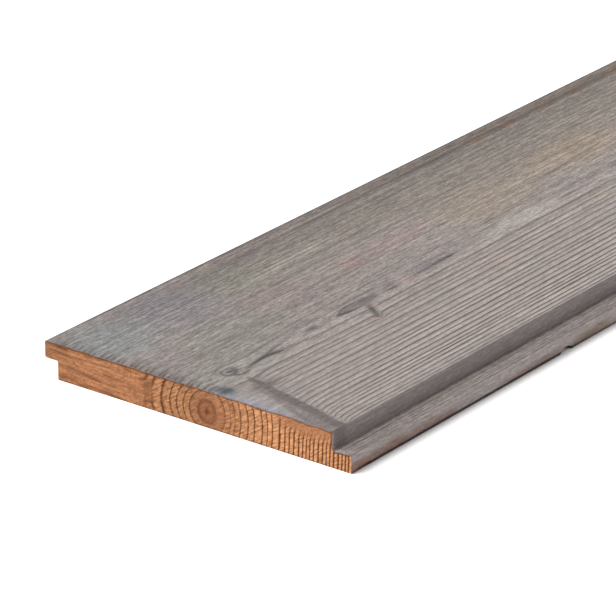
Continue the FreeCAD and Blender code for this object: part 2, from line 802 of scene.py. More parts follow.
    end_groove_reaches: tuple[float, ...] = (57.0, 62.5, 69.0, 76.0, 82.5, 88.0)
    nick: Trace = line((0.0, 0.0, 0.9, 1.0), (4.0, -1.0, 0.8, 0.6), (10.0, -2.4, 0.6, 0.0))
    nick_span: tuple[float, float] = (7.0, 108.0)
    nick_spacing: float = 3.7
    nick_stray: float = 1.2
    nick_stray_lengths: tuple[float, ...] = (17.0, 9.1)
    nick_least: float = 0.55
    nick_more: Ramp = Ramp(12.0, 50.0, 0.45)
    band_reaches: tuple[float, ...] = (112.0, 127.5, 139.2, 151.7, 164.2, 172.0, 178.0, 184.5)
    band_border: tuple[float, ...] = (26.4, 24.2, 21.6, 18.8, 15.8, 13.2, 11.2, 10.6)
    wing_border: tuple[float, ...] = (20.0, 15.4, 12.0, 6.2, 1.0, -3.0, -6.0, -9.0)
    band_start: float = 114.0
    band_opening: Ramp = Ramp(0.0, 24.0)
    band_width: float = 6.6
    band_tip_share: float = 0.45
    band_edge: Ramp = Ramp(-0.7, 0.5)
    band_tip: Ramp = Ramp(0.0, 0.2)
    core_fade: tuple[float, float] = (2.0, -1.5)
    wing_edge: Ramp = Ramp(-1.2, 1.2)
    band_strength: float = 0.56
    wing_strength: float = 0.3
    streak_strength: float = 0.16
    streak_lengths: tuple[float, ...] = (2.3, 1.4)
    streak_wave: float = 0.3
    streak_wave_lengths: tuple[float, ...] = (31.0, 17.0)
    patches: tuple[Patch, ...] = (
        Patch(20.0, 27.0, 26.0, 24.0, "#949392"),
        Patch(70.0, 28.0, 30.0, 26.0, "#928b8d"),
        Patch(66.0, 72.0, 34.0, 19.0, "#928d86"),
        Patch(30.0, 98.0, 34.0, 13.0, "#96918b"),
        Patch(120.0, 26.0, 26.0, 18.0, "#938d87"),
        Patch(116.0, 60.0, 28.0, 13.0, "#968a87"),
        Patch(176.0, 64.0, 8.0, 9.0, "#988883"),
        Patch(217.0, 63.0, 42.0, 8.0, "#998a86"),
        Patch(295.0, 69.0, 44.0, 20.0, "#998d82"),
        Patch(388.0, 65.0, 50.0, 17.0, "#9b8d80"),
        Patch(286.0, 98.5, 30.0, 7.0, "#a59d98"),
        Patch(178.0, 101.0, 7.0, 6.0, "#9c8d88"),
        Patch(208.0, 176.0, 9.0, 4.5, "#9f928d"),
        Patch(229.0, 126.0, 13.0, 10.0, "#9d8f89"),
        Patch(340.0, 117.0, 8.0, 5.0, "#9c9387"),
        Patch(141.0, 110.5, 5.0, 4.0, "#a1928d"),
        Patch(125.5, 118.5, 3.0, 3.0, "#9f918c"),
        Patch(203.0, 96.5, 20.0, 3.4, "#8b8283"),
        Patch(144.0, 100.0, 9.0, 4.0, "#857c7c"),
        Patch(4.0, 138.0, 8.0, 22.0, "#a19a98"),
        Patch(1.0, 136.0, 4.0, 30.0, "#928f95"),
        Patch(8.6, 159.0, 1.6, 2.6, "#a29b99"),
        Patch(6.0, 112.6, 4.8, 6.4, "#54585c"),
        Patch(166.0, 33.0, 34.0, 0.8, "#aaa29d"),
        Patch(166.0, 36.2, 30.0, 0.8, "#a8a09b"),
        Patch(215.0, 8.2, 70.0, 0.7, "#a8a09b"),
        Patch(370.0, 10.0, 9.0, 3.2, "#98877f"),
        Patch(401.0, 10.0, 8.0, 3.0, "#98877f"),
        Patch(436.0, 9.6, 9.0, 3.0, "#988980"),
        Patch(471.0, 9.4, 8.0, 3.0, "#988980"),
        Patch(514.0, 9.0, 12.0, 3.0, "#988980"),
        Patch(380.0, 30.0, 380.0, 26.0, "#888079"),
        Patch(90.0, 72.0, 110.0, 22.0, "#918884"),
        Patch(600.0, 3.0, 560.0, 9.5, "#7e746f"),
        Patch(300.0, 15.0, 430.0, 9.0, "#8d8481"),
        Patch(24.6, 99.8, 3.4, 2.6, "#a09995"),
    )

    def knot_band(self, at: Spots) -> Array:
        """How dark the spike knot near the end shows on the face: a core that opens from a point, and a wing.

        The core's border away from the end is crisp. The wing lies between the core and the near end. Fine
        streaks follow the band.

        Args:
            at: points of the face.

        Returns:
            The strength on the knot's wood, falling to 0 across its edges.
        """
        into = np.interp(at.reach, self.band_reaches, self.band_border) - at.run
        past_wing = at.run - np.interp(at.reach, self.band_reaches, self.wing_border)
        opening = self.band_opening.at(at.reach - self.band_start)
        width = self.band_width * (self.band_tip_share + (1.0 - self.band_tip_share) * opening)
        crisp = self.band_edge.at(into) * self.band_tip.at(opening)
        gone, whole = self.core_fade
        core = self.band_strength * smooth_step(into, width + gone, width + whole)
        wing = self.wing_strength * self.wing_edge.at(past_wing)
        wavering = into + self.streak_wave * drift(at.reach, self.streak_wave_lengths, seed=8)
        streaky = 1.0 + self.streak_strength * drift(wavering, self.streak_lengths, seed=7)
        return crisp * np.maximum(core, wing) * streaky

    def torn_lines(self) -> list[Trace]:
        """The short grooves and nicks that start at the near end."""
        grooves = [self.end_groove.moved(start, 1.0) for start in self.end_groove_reaches]
        starts = np.arange(*self.nick_span, self.nick_spacing)
        starts = starts + self.nick_stray * drift(starts, self.nick_stray_lengths, seed=31)
        shares = self.nick_least + self.nick_more.at(starts)
        return grooves + [self.nick.moved(start, share) for start, share in zip(starts, shares)]

    def darkness(self, at: Spots) -> Array:
        """How dark the marks are on the face.

        Args:
            at: points of the face.

        Returns:
            The greatest strength of any mark at each point, from 0 to 1.
        """
        dark = self.knot_band(at)
        for trace in (*self.traces, *self.torn_lines()):
            dark = np.maximum(dark, trace.weight(at.run, at.reach))
        return np.clip(dark, 0.0, 1.0)

    def tint(self, at: Spots) -> Array:
        """What the plain stain is multiplied by at each point of the face.

        Args:
            at: points of the face.

        Returns:
            Red, green and blue factors, in the last axis.
        """
        factors = np.ones((*np.broadcast_shapes(at.run.shape, at.reach.shape), 3))
        for patch in self.patches:
            factors += patch.weight(at.run, at.reach)[..., None] * (against_plain(patch.hue) - 1.0)
        return factors


@dataclass
class Brushing:
    """What the wire brush and the planer did to the skin.

    Attributes:
        section: the board's section.
        marks: the marks on its face, whose hard wood the brush hardly cut.
        before_pith: strength of the brush before the pith.
        more_across: how much more strongly it cut past the pith, across the board.
        near_share: share of that strength at the near end.
        more_along: how much that share grows along the board.
        unevenness: by how much the strength varies.
        uneven_lengths: lengths over which it does.
        uneven_slant: how the variation slants across the grain.
        end_run: run up to which the near end was spared before the spike knot, and past it the knot's border.
        end_zone: where the brush starts and is at full strength, from that run.
        end_share: share of the strength on what was spared.
        knot_spared: share of the strength that dark marks take away.
        climb: over a ring, where the surface climbs from the groove to the ridge.
        drop: where it drops into the next groove.
        far_groove_depth: depth of the brushed grooves before the pith.
        deeper: how much deeper they are past the pith.
        mean_ring: mean share of that depth from ring to ring.
        ring_beat: how fast the share changes with the rings.
        on_top: how the grooves end in the arrises, from the face's height down.
        lip_groove_depth: depth of the grooves on the lower lip's top.
        from_wall: how those end at the shoulder wall.
        plane_ripple: depth of the planer's ripple on the other surfaces.
        ripple_lengths: lengths of that ripple.
    """

    section: HalfLapSection
    marks: FaceMarks
    before_pith: float = 0.24
    more_across: tuple[Ramp, ...] = (Ramp(96.0, 118.0, 0.42), Ramp(132.0, 160.0, 0.3))
    near_share: float = 0.74
    more_along: tuple[Ramp, ...] = (Ramp(15.0, 120.0, 0.22), Ramp(120.0, 260.0, 0.14))
    unevenness: float = 0.13
    uneven_lengths: tuple[float, ...] = (190.0, 83.0)
    uneven_slant: float = 3.0
    end_run: float = 14.0
    end_zone: tuple[float, float] = (-12.0, 8.0)
    end_share: float = 0.25
    knot_spared: float = 0.8
    climb: Ramp = Ramp(0.06, 0.78)
    drop: Ramp = Ramp(0.86, 1.0)
    far_groove_depth: float = 0.24
    deeper: Ramp = Ramp(96.0, 122.0, 0.18)
    mean_ring: float = 0.75
    ring_beat: float = 0.9
    on_top: Ramp = Ramp(0.5, 0.0)
    lip_groove_depth: float = 0.12
    from_wall: Ramp = Ramp(1.0, 3.0)
    plane_ripple: float = 0.03
    ripple_lengths: tuple[float, ...] = (61.0, 23.0, 140.0)

    def strength(self, at: Spots) -> Array:
        """How strongly the brush cut: deep past the pith, lightly before it, hardly on hard knot wood.

        Args:
            at: points of the face.

        Returns:
            The strength at each point, from 0 to 1.
        """
        across = self.before_pith + sum(ramp.at(at.reach) for ramp in self.more_across)
        along = self.near_share + sum(ramp.at(at.run) for ramp in self.more_along)
        wave = drift(at.run + self.uneven_slant * at.reach, self.uneven_lengths, seed=11)
        uneven = 1.0 - self.unevenness + self.unevenness * wave
        border = np.interp(at.reach, self.marks.band_reaches, self.marks.band_border)
        spared = np.where(at.reach > self.marks.band_start, border, self.end_run)
        start, full = self.end_zone
        past_end = smooth_step(at.run, spared + start, spared + full)
        near_end = self.end_share + (1.0 - self.end_share) * past_end
        return across * along * uneven * near_end * (1.0 - self.knot_spared * self.marks.darkness(at))

    def groove(self, age: Array) -> Array:
        """Depth of the brushed profile over one ring, from 0 on the ridge to 1 in the groove.

        The soft wood after a year's end is brushed out, the surface climbs to the hard late wood, and at the
        next year's end it drops again within a seventh of a ring.

        Args:
            age: ring numbers.

        Returns:
            The share of the groove's depth at each age.
        """
        phase = np.mod(age, 1.0)
        return np.maximum(1.0 - self.climb.at(phase), self.drop.at(phase))

    def depth(self, skin: Skin) -> Array:
        """How far the real skin lies inside the planed section.

        Args:
            skin: the planed skin.

        Returns:
            The depth of each point, along its normal.
        """
        reach = skin.at.reach
        groove = self.groove(skin.age)
        ring_share = self.mean_ring + (1.0 - self.mean_ring) * np.sin(self.ring_beat * skin.age)
        deepest = (self.far_groove_depth + self.deeper.at(reach)) * ring_share
        on_top = self.on_top.at(self.section.thickness - skin.at.height)
        face = deepest * self.strength(skin.at) * groove * on_top
        lip = self.lip_groove_depth * groove * self.from_wall.at(reach - self.section.shoulder_reach)
        planed = self.plane_ripple * (1.0 + drift(skin.at.run, self.ripple_lengths, seed=5))
        depth = np.where(skin.owner == Surface.FACE, face, planed)
        return np.where(skin.owner == Surface.LIP_TOP, lip, depth)


@dataclass
class Weathering:
    """How stain, dirt, wear and painted light and shade lie on the skin.

    Attributes:
        section: the board's section.
        length: the board's length.
        rubbed_end: how much more the lower lip's bottom edge is rubbed at the near end.
        rubbed_lengths: lengths over which the rubbing varies.
        rubbed_height: least height of the rubbed edge, and what the near end and the variation add to it.
        rubbed_share: raw wood that shows there, in the same three parts.
        end_thread: raw wood at both ends' arrises, from the end.
        hidden_bare: raw wood in the rebate under the upper lip.
        overspray: what the stain that blew in there takes away from it at the face's height.
        overspray_height: height from which it does.
        edge_bare: raw wood on the upper lip's edge, from the face down.
        shoulder_dark_line: height above the lower lip of a dark line on the shoulder, its half width and how
            much darker it is.
        wall_corner_painted_shade: painted shade low on the shoulder, in the rebate's corner, by height above
            the lip.
        lip_painted_light: tone of the lower lip's top, raised as painted light against the shade that the
            shoulder casts on it.
        lip_light_and_shade_from_wall: how that changes away from the shoulder: painted light near it, and a
            thin painted shade line in the corner.
        lip_from_edge: how it changes at the lip's own edge.
        foot_shadow_and_grime: darkening at the lower lip's foot, painted contact shadow and dirt.
        foot_along: how that changes along the run.
        foot_height: how far up that darkening reaches.
        foot_fade: a faint painted shade above it.
        arris_along: shade of the face's left arris along the run.
        arris_width: how far in that reaches.
        under_edge: how far in from the lower lip's edge the back is darkened as painted shadow under the
            foot.
        under_edge_painted_shadow: what the colour is multiplied by there.
        lip_brushed: strength of the brush on the lower lip's top.
        wall_knot_run: run of the dark knot wood on the shoulder.
        wall_knot: its strength, by distance from there.
        painted_light_hues: colour of the stain on the shoulder and the lower lip's side, paler than plain as
            painted light.
        soiled_hue: colour of the stain low on the lower lip's side near the end.
        soiled_along: share of that colour along the run.
        soiled_up: share of it by height.
        lip_scuffs: rubbed and soiled spots on the lower lip's side, by run and height.
        scuff_share: how strong they are.
        grain: how strongly the fibres show on surfaces that weren't brushed.
        combed: what the brush took away of the fibres past the pith.
    """

    section: HalfLapSection
    length: float
    rubbed_end: Ramp = Ramp(60.0, 4.0)
    rubbed_lengths: tuple[float, ...] = (37.0, 71.0, 118.0)
    rubbed_height: tuple[float, float, float] = (2.2, 3.5, 1.6)
    rubbed_share: tuple[float, float, float] = (0.35, 0.1, 0.3)
    end_thread: Ramp = Ramp(1.6, 0.0, 0.5)
    hidden_bare: float = 0.9
    overspray: float = 0.5
    overspray_height: float = 8.0
    edge_bare: Ramp = Ramp(2.0, 7.0, 0.45)
    # A dark line on the shoulder, and painted shade low on it in the rebate's corner.
    shoulder_dark_line: tuple[float, float, float] = (2.6, 0.6, 0.16)
    wall_corner_painted_shade: Ramp = Ramp(0.9, 0.3, -0.62)
    # Painted light on the lower lip's top where the shoulder shades it, with a painted shade line in the
    # corner.
    lip_painted_light: float = 1.16
    lip_light_and_shade_from_wall: tuple[Ramp, ...] = (Ramp(4.2, 1.2, 0.38), Ramp(1.1, 0.6, -0.8))
    lip_from_edge: Ramp = Ramp(8.0, 1.0, -0.34)
    # Painted contact shadow and dirt along the lower lip's foot.
    foot_shadow_and_grime: float = 0.5
    foot_along: tuple[Ramp, ...] = (Ramp(2.0, 14.0, 0.4), Ramp(192.0, 200.0, -0.3))
    foot_height: Ramp = Ramp(2.1, 1.3)
    foot_fade: Ramp = Ramp(5.5, 2.3, -0.02)
    arris_along: tuple[Ramp, ...] = (Ramp(4.0, 30.0, 0.6), Ramp(330.0, 480.0, -0.3))
    arris_width: Ramp = Ramp(2.1, 0.8)
    # Painted shadow on the back's edge under the lower lip's foot.
    under_edge: float = 2.0
    under_edge_painted_shadow: float = 0.2
    lip_brushed: float = 0.36
    wall_knot_run: float = 5.0
    wall_knot: Ramp = Ramp(9.0, 2.0, 0.4)
    # Paler stain on the shoulder and, much more, on the lower lip's side: painted light.
    painted_light_hues: dict[Surface, str] = field(
        default_factory=lambda: {Surface.SHOULDER: "#9b9291", Surface.LIP_SIDE: "#b9aeab"}
    )
    soiled_hue: str = "#967467"
    soiled_along: Ramp = Ramp(85.0, 20.0, 0.6)
    soiled_up: Ramp = Ramp(8.0, 1.5)
    lip_scuffs: tuple[Patch, ...] = (
        Patch(8.0, 2.6, 12.0, 2.8, "#a3705c"),
        Patch(34.0, 3.2, 14.0, 4.0, "#8c6955"),
        Patch(60.0, 3.4, 15.0, 3.0, "#8e6f62"),
        Patch(78.0, 2.6, 12.0, 2.4, "#946c60"),
        Patch(145.0, 2.0, 12.0, 2.2, "#98725b"),
        Patch(170.0, 2.2, 16.0, 2.6, "#8a6a54"),
        Patch(202.0, 2.6, 10.0, 2.8, "#7d6650"),
        Patch(218.0, 3.2, 12.0, 3.0, "#917050"),
    )
    scuff_share: float = 0.55
    grain: dict[Surface, float] = field(
        default_factory=lambda: {Surface.SHOULDER: 0.5, Surface.LIP_TOP: 0.85, Surface.LIP_SIDE: 0.65}
    )
    combed: Ramp = Ramp(98.0, 124.0, -0.36)

    def bare(self, skin: Skin) -> Array:
        """How much raw wood shows: all of the back, a thread at the ends, ragged bits on the lips' low edges.

        Args:
            skin: the planed skin.

        Returns:
            0 where the stain covers, 1 where the wood is bare.
        """
        run, height = skin.at.run, skin.at.height
        near_end = self.rubbed_end.at(run)
        patchy = 0.5 + 0.5 * drift(run, self.rubbed_lengths, seed=21)
        parts = (np.ones_like(run), near_end, patchy)
        edge_height, edge_share = (
            sum(amount * part for amount, part in zip(amounts, parts))
            for amounts in (self.rubbed_height, self.rubbed_share)
        )
        rubbed = edge_share * smooth_step(height, edge_height, 0.0)
        blown_in = smooth_step(height, self.overspray_height, self.section.thickness)
        hidden = self.hidden_bare - self.overspray * blown_in
        bare = np.broadcast_to(self.end_thread.at(np.minimum(run, self.length - run)), skin.age.shape)
        by_surface = {
            Surface.LIP_SIDE: rubbed,
            Surface.BACK: 1.0,
            Surface.REBATE_WALL: hidden,
            Surface.LIP_UNDERSIDE: hidden,
            Surface.UPPER_EDGE: self.edge_bare.at(self.section.thickness - height),
        }
        for surface, share in by_surface.items():
            bare = np.where(skin.owner == surface, share, bare)
        return bare

    def shade(self, skin: Skin) -> Array:
        """Painted shade and light: dark in the rebate's corner, on a line above it, at the foot with its dirt
        and under it, and light on the lower lip's top.

        Args:
            skin: the planed skin.

        Returns:
            What the colour is multiplied by.
        """
        run, reach, height = skin.at.run, skin.at.reach, skin.at.height
        above_lip = height - self.section.lower_lip_thickness
        from_wall = reach - self.section.shoulder_reach
        from_edge = self.section.width - reach
        line_height, line_width, line_shade = self.shoulder_dark_line
        foot_shadow_and_dirt = self.foot_shadow_and_grime + sum(ramp.at(run) for ramp in self.foot_along)
        # Darker along the face's left arris.
        arris_darkening = sum(ramp.at(run) for ramp in self.arris_along)
        lip = self.lip_painted_light + sum(ramp.at(from_wall) for ramp in self.lip_light_and_shade_from_wall)
        wall = 1.0 + self.wall_corner_painted_shade.at(above_lip)
        # Painted shade low on the shoulder and on the back's edge, painted contact shadow and dirt at the
        # lower lip's foot, painted light on the lower lip's top.
        by_surface = {
            Surface.FACE: 1.0 - arris_darkening * self.arris_width.at(reach),
            Surface.SHOULDER: wall - line_shade * bell(above_lip - line_height, line_width),
            Surface.LIP_TOP: lip + self.lip_from_edge.at(from_edge),
            Surface.LIP_SIDE: 1.0 - foot_shadow_and_dirt * self.foot_height.at(height) + self.foot_fade.at(height),
            Surface.BACK: np.where(from_edge < self.under_edge, self.under_edge_painted_shadow, 1.0),
        }
        shade = np.ones(skin.age.shape)
        for surface, tone in by_surface.items():
            shade = np.where(skin.owner == surface, tone, shade)
        return shade

    def stain(self, skin: Skin, marks: FaceMarks) -> Array:
        """What the plain stain is multiplied by, with the paler hues of painted light on the shoulder and the
        lower lip's side, and that side's dirty and rubbed spots.

        Args:
            skin: the planed skin.
            marks: the marks on the face.

        Returns:
            Red, green and blue factors, in the last axis.
        """
        at = skin.at
        on_side = skin.owner == Surface.LIP_SIDE
        # The shoulder's and the lower lip's side's paler hues are painted light.
        plain = np.array([against_plain(self.painted_light_hues.get(surface, PLAIN_STAIN)) for surface in Surface])
        stain = np.where((skin.owner == Surface.FACE)[:, None], marks.tint(at), plain[skin.owner])
        spots = [(self.soiled_hue, self.soiled_along.at(at.run) * self.soiled_up.at(at.height))]
        for scuff in self.lip_scuffs:
            spots.append((scuff.hue, self.scuff_share * scuff.weight(at.run, at.height)))
        for hue, share in spots:
            stain = stain + (share * on_side)[..., None] * (against_plain(hue) - stain)
        return stain

    def fields(self, skin: Skin, brushing: Brushing) -> dict[str, Array]:
        """The fields that the long grain's finish reads, at each point of the skin.

        Args:
            skin: the planed skin.
            brushing: what the brush did to it.

        Returns:
            Each field's values by its name, with colours in a last axis of three.
        """
        at = skin.at
        on_face = skin.owner == Surface.FACE
        lip = self.lip_brushed * (skin.owner == Surface.LIP_TOP)
        wall_knot = self.wall_knot.at(np.abs(at.run - self.wall_knot_run)) * (skin.owner == Surface.SHOULDER)
        grain = np.array([self.grain.get(surface, 1.0) for surface in Surface])[skin.owner]
        grain = np.where(on_face, 1.0 + self.combed.at(at.reach), grain)
        return {
            "grainy": np.broadcast_to(grain, skin.age.shape),
            "ring_age": skin.age,
            "brushed": np.where(on_face, brushing.strength(at), lip),
            "mark": np.where(on_face, brushing.marks.darkness(at), wall_knot),
            "bare": self.bare(skin),
            "shade": self.shade(skin),
            "stain": self.stain(skin, brushing.marks),
        }


@dataclass
class Chip:
    """A chip that broke out of the lower lip's bottom edge.

    Attributes:
        run: run of its middle.
        half_length: half its length.
        height: how far up it reaches.
        depth: how far in it reaches.
        least_share: share of height and depth below which it has ended.
        least_square: keeps that share above 0 beside the chip, so that it can be divided by.
    """

    run: float = 187.2
    half_length: float = 5.0
    height: float = 3.0
    depth: float = 2.2
    least_share: float = 1e-3
    least_square: float = 1e-9

    def broken(self, at: Spots, width: float) -> Spots:
        """Breaks the chip out.

        In each section the chip is a quarter of an ellipse about the edge. Its two radii shrink along the
        board as a circle does. What lay between the edge and the ellipse is spread over the ellipse.

        Args:
            at: points of the skin.
            width: reach of the edge.

        Returns:
            The points after the break.
        """
        along = (at.run - self.run) / self.half_length
        share = np.sqrt(np.clip(1.0 - along**2, self.least_square, 1.0))
        inward = (width - at.reach) / (self.depth * share)
        upward = at.height / (self.height * share)
        turn = math.pi / 4 * (1.0 - upward + inward)
        inside = (inward < 1.0) & (upward < 1.0) & (share > self.least_share)
        reach = np.where(inside, width - self.depth * share * np.sin(turn), at.reach)
        return Spots(at.run, reach, np.where(inside, self.height * share * np.cos(turn), at.height))


@dataclass
class SawnEnd:
    """One sawn end, filled inside the skin's last points.

    Attributes:
        numbers: the mesh's numbers of its points, those of the rim first.
        cells: reach and height of its points inside the rim.
        triangles: its faces, as places in numbers.
        flat: reach and height of all its points.
        run: its distance from the near end.
    """

    numbers: Array
    cells: Array
    triangles: Array
    flat: Array
    run: float


@dataclass
class EndGrain:
    """What the sawn ends show: narrow rings, a branch cut along its length, a knot, the pith and the stain.

    The branch, the knot and the dark fibres are on the near end only.

    Attributes:
        section: the board's section.
        rings: the growth rings.
        length: the board's length.
        cell: width and height of the cells in the near end.
        far_coarser: how many times larger they are in the far one.
        margin: least distance of the cells from the rim.
        pith_cell: size of the cells at the pith.
        pith_zone: distance from the pith up to which those are used.
        narrow_reach: reach from which the ends show more rings than the face.
        narrow_rings: how many more, per millimetre.
        uneven_years: what is added to the ring numbers towards the upper lip, by distance from the pith.
        before_pith: where that starts, across from the pith.
        knot: the spike knot's wood, by reach and height.
        turned: where the rings turn round the branch.
        limb: the branch's wood, by reach.
        pith_wood: distance from the pith up to which its own wood lies.
        ring_loss: how much of the rings is lost on the knot, the branch, the pith's wood and the turn.
        saw_loss: how much of the saw's marks is lost there.
        clear: reaches, and how clearly the rings show at each.
        tone: reaches, and what the colour is multiplied by at each.
        spread: reaches, and how widely the stain crept over the end at each.
        most_rim: greatest distance from the stain that is kept.
        line_power: what sharpens the ring lines before the pith.
        thinner: how that changes across the board.
        pith_rings: distance from the pith, half width and strength of each reddish ring.
        streaks: dark fibres, by reach and height.
    """

    section: HalfLapSection
    rings: GrowthRings
    length: float
    cell: tuple[float, float] = (0.8, 0.65)
    far_coarser: float = 2.0
    margin: float = 0.7
    pith_cell: float = 0.7
    pith_zone: float = 8.0
    narrow_reach: float = 152.0
    narrow_rings: float = 0.09
    uneven_years: tuple[Ramp, ...] = (Ramp(8.0, 19.0), Ramp(22.0, 30.0, -0.4))
    before_pith: Ramp = Ramp(5.0, -1.0)
    knot: Patch = Patch(171.0, 20.5, 25.0, 8.4, flatness=3)
    turned: Patch = Patch(67.0, 9.5, 5.5, 5.5)
    limb: Ramp = Ramp(73.0, 62.0)
    pith_wood: float = 10.0
    ring_loss: tuple[float, ...] = (0.95, 0.75, 0.5, 0.85)
    saw_loss: tuple[float, ...] = (0.6, 0.7, 0.6, 0.0)
    clear: tuple[tuple[float, ...], tuple[float, ...]] = (
        (70.0, 78.0, 100.0, 108.0, 116.0, 124.0, 132.0, 152.0),
        (0.6, 0.8, 0.74, 0.5, 0.36, 0.6, 0.82, 1.0),
    )
    tone: tuple[tuple[float, ...], tuple[float, ...]] = (
        (0.0, 10.0, 30.0, 60.0, 78.0, 100.0, 120.0, 150.0, 180.0, 196.0),
        (0.84, 0.92, 1.04, 1.0, 0.76, 0.75, 0.85, 1.0, 1.0, 1.02),
    )
    spread: tuple[tuple[float, ...], tuple[float, ...]] = (
        (105.0, 150.0, 158.0, 167.0, 184.0, 188.0),
        (0.9, 1.2, 1.2, 1.6, 1.6, 1.1),
    )
    most_rim: float = 6.0
    line_power: float = 2.2
    thinner: tuple[Ramp, ...] = (Ramp(140.0, 165.0, -1.1), Ramp(180.0, 187.0, -0.3))
    pith_rings: tuple[tuple[float, float, float], ...] = (
        (0.0, 1.9, 1.1),
        (0.0, 11.0, 0.44),
        (5.3, 0.9, 0.42),
    )
    streaks: tuple[Trace, ...] = (
        # Fibres of the branch that was cut along its length.
        line((9.5, 8.6, 0.6, 0.4), (21.0, 8.4, 0.6, 0.6), (31.0, 7.4, 0.8, 0.7), (36.5, 6.2, 0.8, 0.6)),
        line((12.5, 3.4, 0.7, 0.6), (21.0, 2.4, 0.7, 0.6)),
        line((22.0, 1.2, 0.8, 0.5), (32.0, 1.6, 0.8, 0.6), (46.0, 1.0, 0.7, 0.3)),
        line((19.0, 12.0, 0.8, 0.6), (21.5, 10.8, 0.8, 0.5)),
        line((4.0, 14.6, 0.6, 0.35), (14.0, 15.4, 0.7, 0.5), (24.0, 14.8, 0.6, 0.3)),
        line((38.0, 11.2, 0.6, 0.35), (45.0, 10.0, 0.7, 0.5), (52.0, 10.4, 0.6, 0.3)),
        # Where the stem's rings turn outwards round that branch.
        line((67.7, 18.7, 0.8, 0.9), (65.6, 15.9, 0.8, 0.9), (62.0, 14.8, 0.8, 0.5)),
        line(
            (73.4, 19.7, 0.8, 0.95), (72.0, 17.3, 0.8, 0.95),
            (70.6, 15.1, 0.8, 0.9), (67.7, 14.1, 0.8, 0.6),
        ),
        line((65.6, 3.9, 0.8, 0.8), (69.9, 4.2, 0.8, 0.9), (71.3, 1.7, 0.8, 0.9)),
        line((68.0, 12.0, 2.2, 0.4), (67.4, 6.5, 2.2, 0.4)),
        # Fibres torn out under the face.
        line((2.0, 19.1, 0.5, 0.7), (30.0, 19.1, 0.5, 0.75), (62.0, 19.1, 0.5, 0.7), (108.0, 19.2, 0.5, 0.4)),
        line((8.0, 18.8, 0.8, 0.9), (14.5, 18.5, 0.8, 0.8)),
        line((26.0, 18.6, 0.7, 0.6), (31.0, 18.2, 0.7, 0.5)),
        line((52.0, 18.2, 0.7, 0.6), (56.0, 17.4, 0.7, 0.5)),
    )

    def is_near(self, run: float) -> bool:
        """Whether an end is the near one."""
        return run < self.length / 2

    def on_end(self, run: float, flat: Array) -> Spots:
        """Points of the board, from reach and height of points on the end at a run."""
        return Spots(np.full(len(flat), run), flat[:, 0], flat[:, 1])

    def fields(self, end: SawnEnd) -> dict[str, Array]:
        """The fields that the sawn end's finish reads.

        Args:
            end: the filled end.

        Returns:
            Each field's values by its name, for each of the end's points.
        """
        at = self.on_end(end.run, end.flat)
        near = float(self.is_near(end.run))
        radius = self.rings.from_pith(at)
        limb = near * self.limb.at(at.reach)
        knot, turned = (near * oval.weight(at.reach, at.height) for oval in (self.knot, self.turned))
        areas = (knot, limb, bell(radius, self.pith_wood, flatness=4), turned)
        rings_kept, saw_kept = (
            np.prod([1.0 - loss * area for loss, area in zip(losses, areas)], axis=0)
            for losses in (self.ring_loss, self.saw_loss)
        )
        streak = near * np.max([trace.weight(at.reach, at.height) for trace in self.streaks], axis=0)
        spread = np.interp(at.reach, *self.spread)
        return {
            "ring_age": self.age(at),
            "end_clear": np.interp(at.reach, *self.clear) * rings_kept,
            "end_thin": self.line_power + sum(ramp.at(at.reach) for ramp in self.thinner),
            "end_tone": np.interp(at.reach, *self.tone),
            "end_limb": limb,
            "end_streak": streak,
            "end_pith": sum(deep * bell(radius - off, half) for off, half, deep in self.pith_rings),
            "end_sawn": saw_kept,
            "end_rim": np.clip(self.section.from_stain(at) / spread, 0.0, self.most_rim),
        }

    def age(self, at: Spots) -> Array:
        """Ring numbers on a sawn end: the lower lip's side has narrow rings that the brush doesn't raise.

        Args:
            at: points of the end.

        Returns:
            The ring number of each point.
        """
        past = np.clip(at.reach, self.narrow_reach, self.section.shoulder_reach) - self.narrow_reach
        radius = self.rings.from_pith(at)
        before_pith = self.before_pith.at(at.reach - self.rings.pith_reach)
        uneven = before_pith * sum(ramp.at(radius) for ramp in self.uneven_years)
        return self.rings.age(at) + self.narrow_rings * past + uneven

    def cells(self, run: float) -> Array:
        """Reach and height of the points inside an end: an even lattice, and a closer one at the pith.

        Args:
            run: distance of the end from the near end.

        Returns:
            The points, one row each.
        """
        kept = []
        coarse = 1.0 if self.is_near(run) else self.far_coarser
        for (wide, high), at_pith in ((self.cell, False), ((self.pith_cell, self.pith_cell), True)):
            across = np.arange(wide * coarse / 2, self.section.width, wide * coarse)
            up = np.arange(high * coarse / 2, self.section.thickness, high * coarse)
            lattice = np.stack(np.meshgrid(across, up), -1).reshape(-1, 2)
            radius = self.rings.from_pith(self.on_end(run, lattice))
            kept.append(lattice[(radius < self.pith_zone) == at_pith])
        cells = np.concatenate(kept)
        return cells[self.section.inside(cells[:, 0], cells[:, 1], self.margin)]

    def filled(self, rim: Array, rim_numbers: Array, run: float, first_number: int) -> SawnEnd:
        """Fills one end inside its rim with triangles through the lattice of cells.

        Args:
            rim: reach and height of the skin's last points, in order round the section.
            rim_numbers: the mesh's numbers of those points.
            run: distance of the end from the near end.
            first_number: the mesh's number of the first new point.

        Returns:
            The filled end.
        """
        cells = self.cells(run)
        flat = np.concatenate([rim, cells])
        spots = [Vector(spot) for spot in flat.tolist()]
        only_inside, same_point = 1, 1e-5
        filled = delaunay_2d_cdt(spots, [], [list(range(len(rim)))], only_inside, same_point)
        source = np.array([origins[0] for origins in filled[3]])
        triangles = source[np.array(filled[2])]
        if not self.is_near(run):
            triangles = triangles[:, ::-1]
        numbers = np.concatenate([rim_numbers, first_number + np.arange(len(cells))])
        return SawnEnd(numbers, cells, triangles, flat, run)


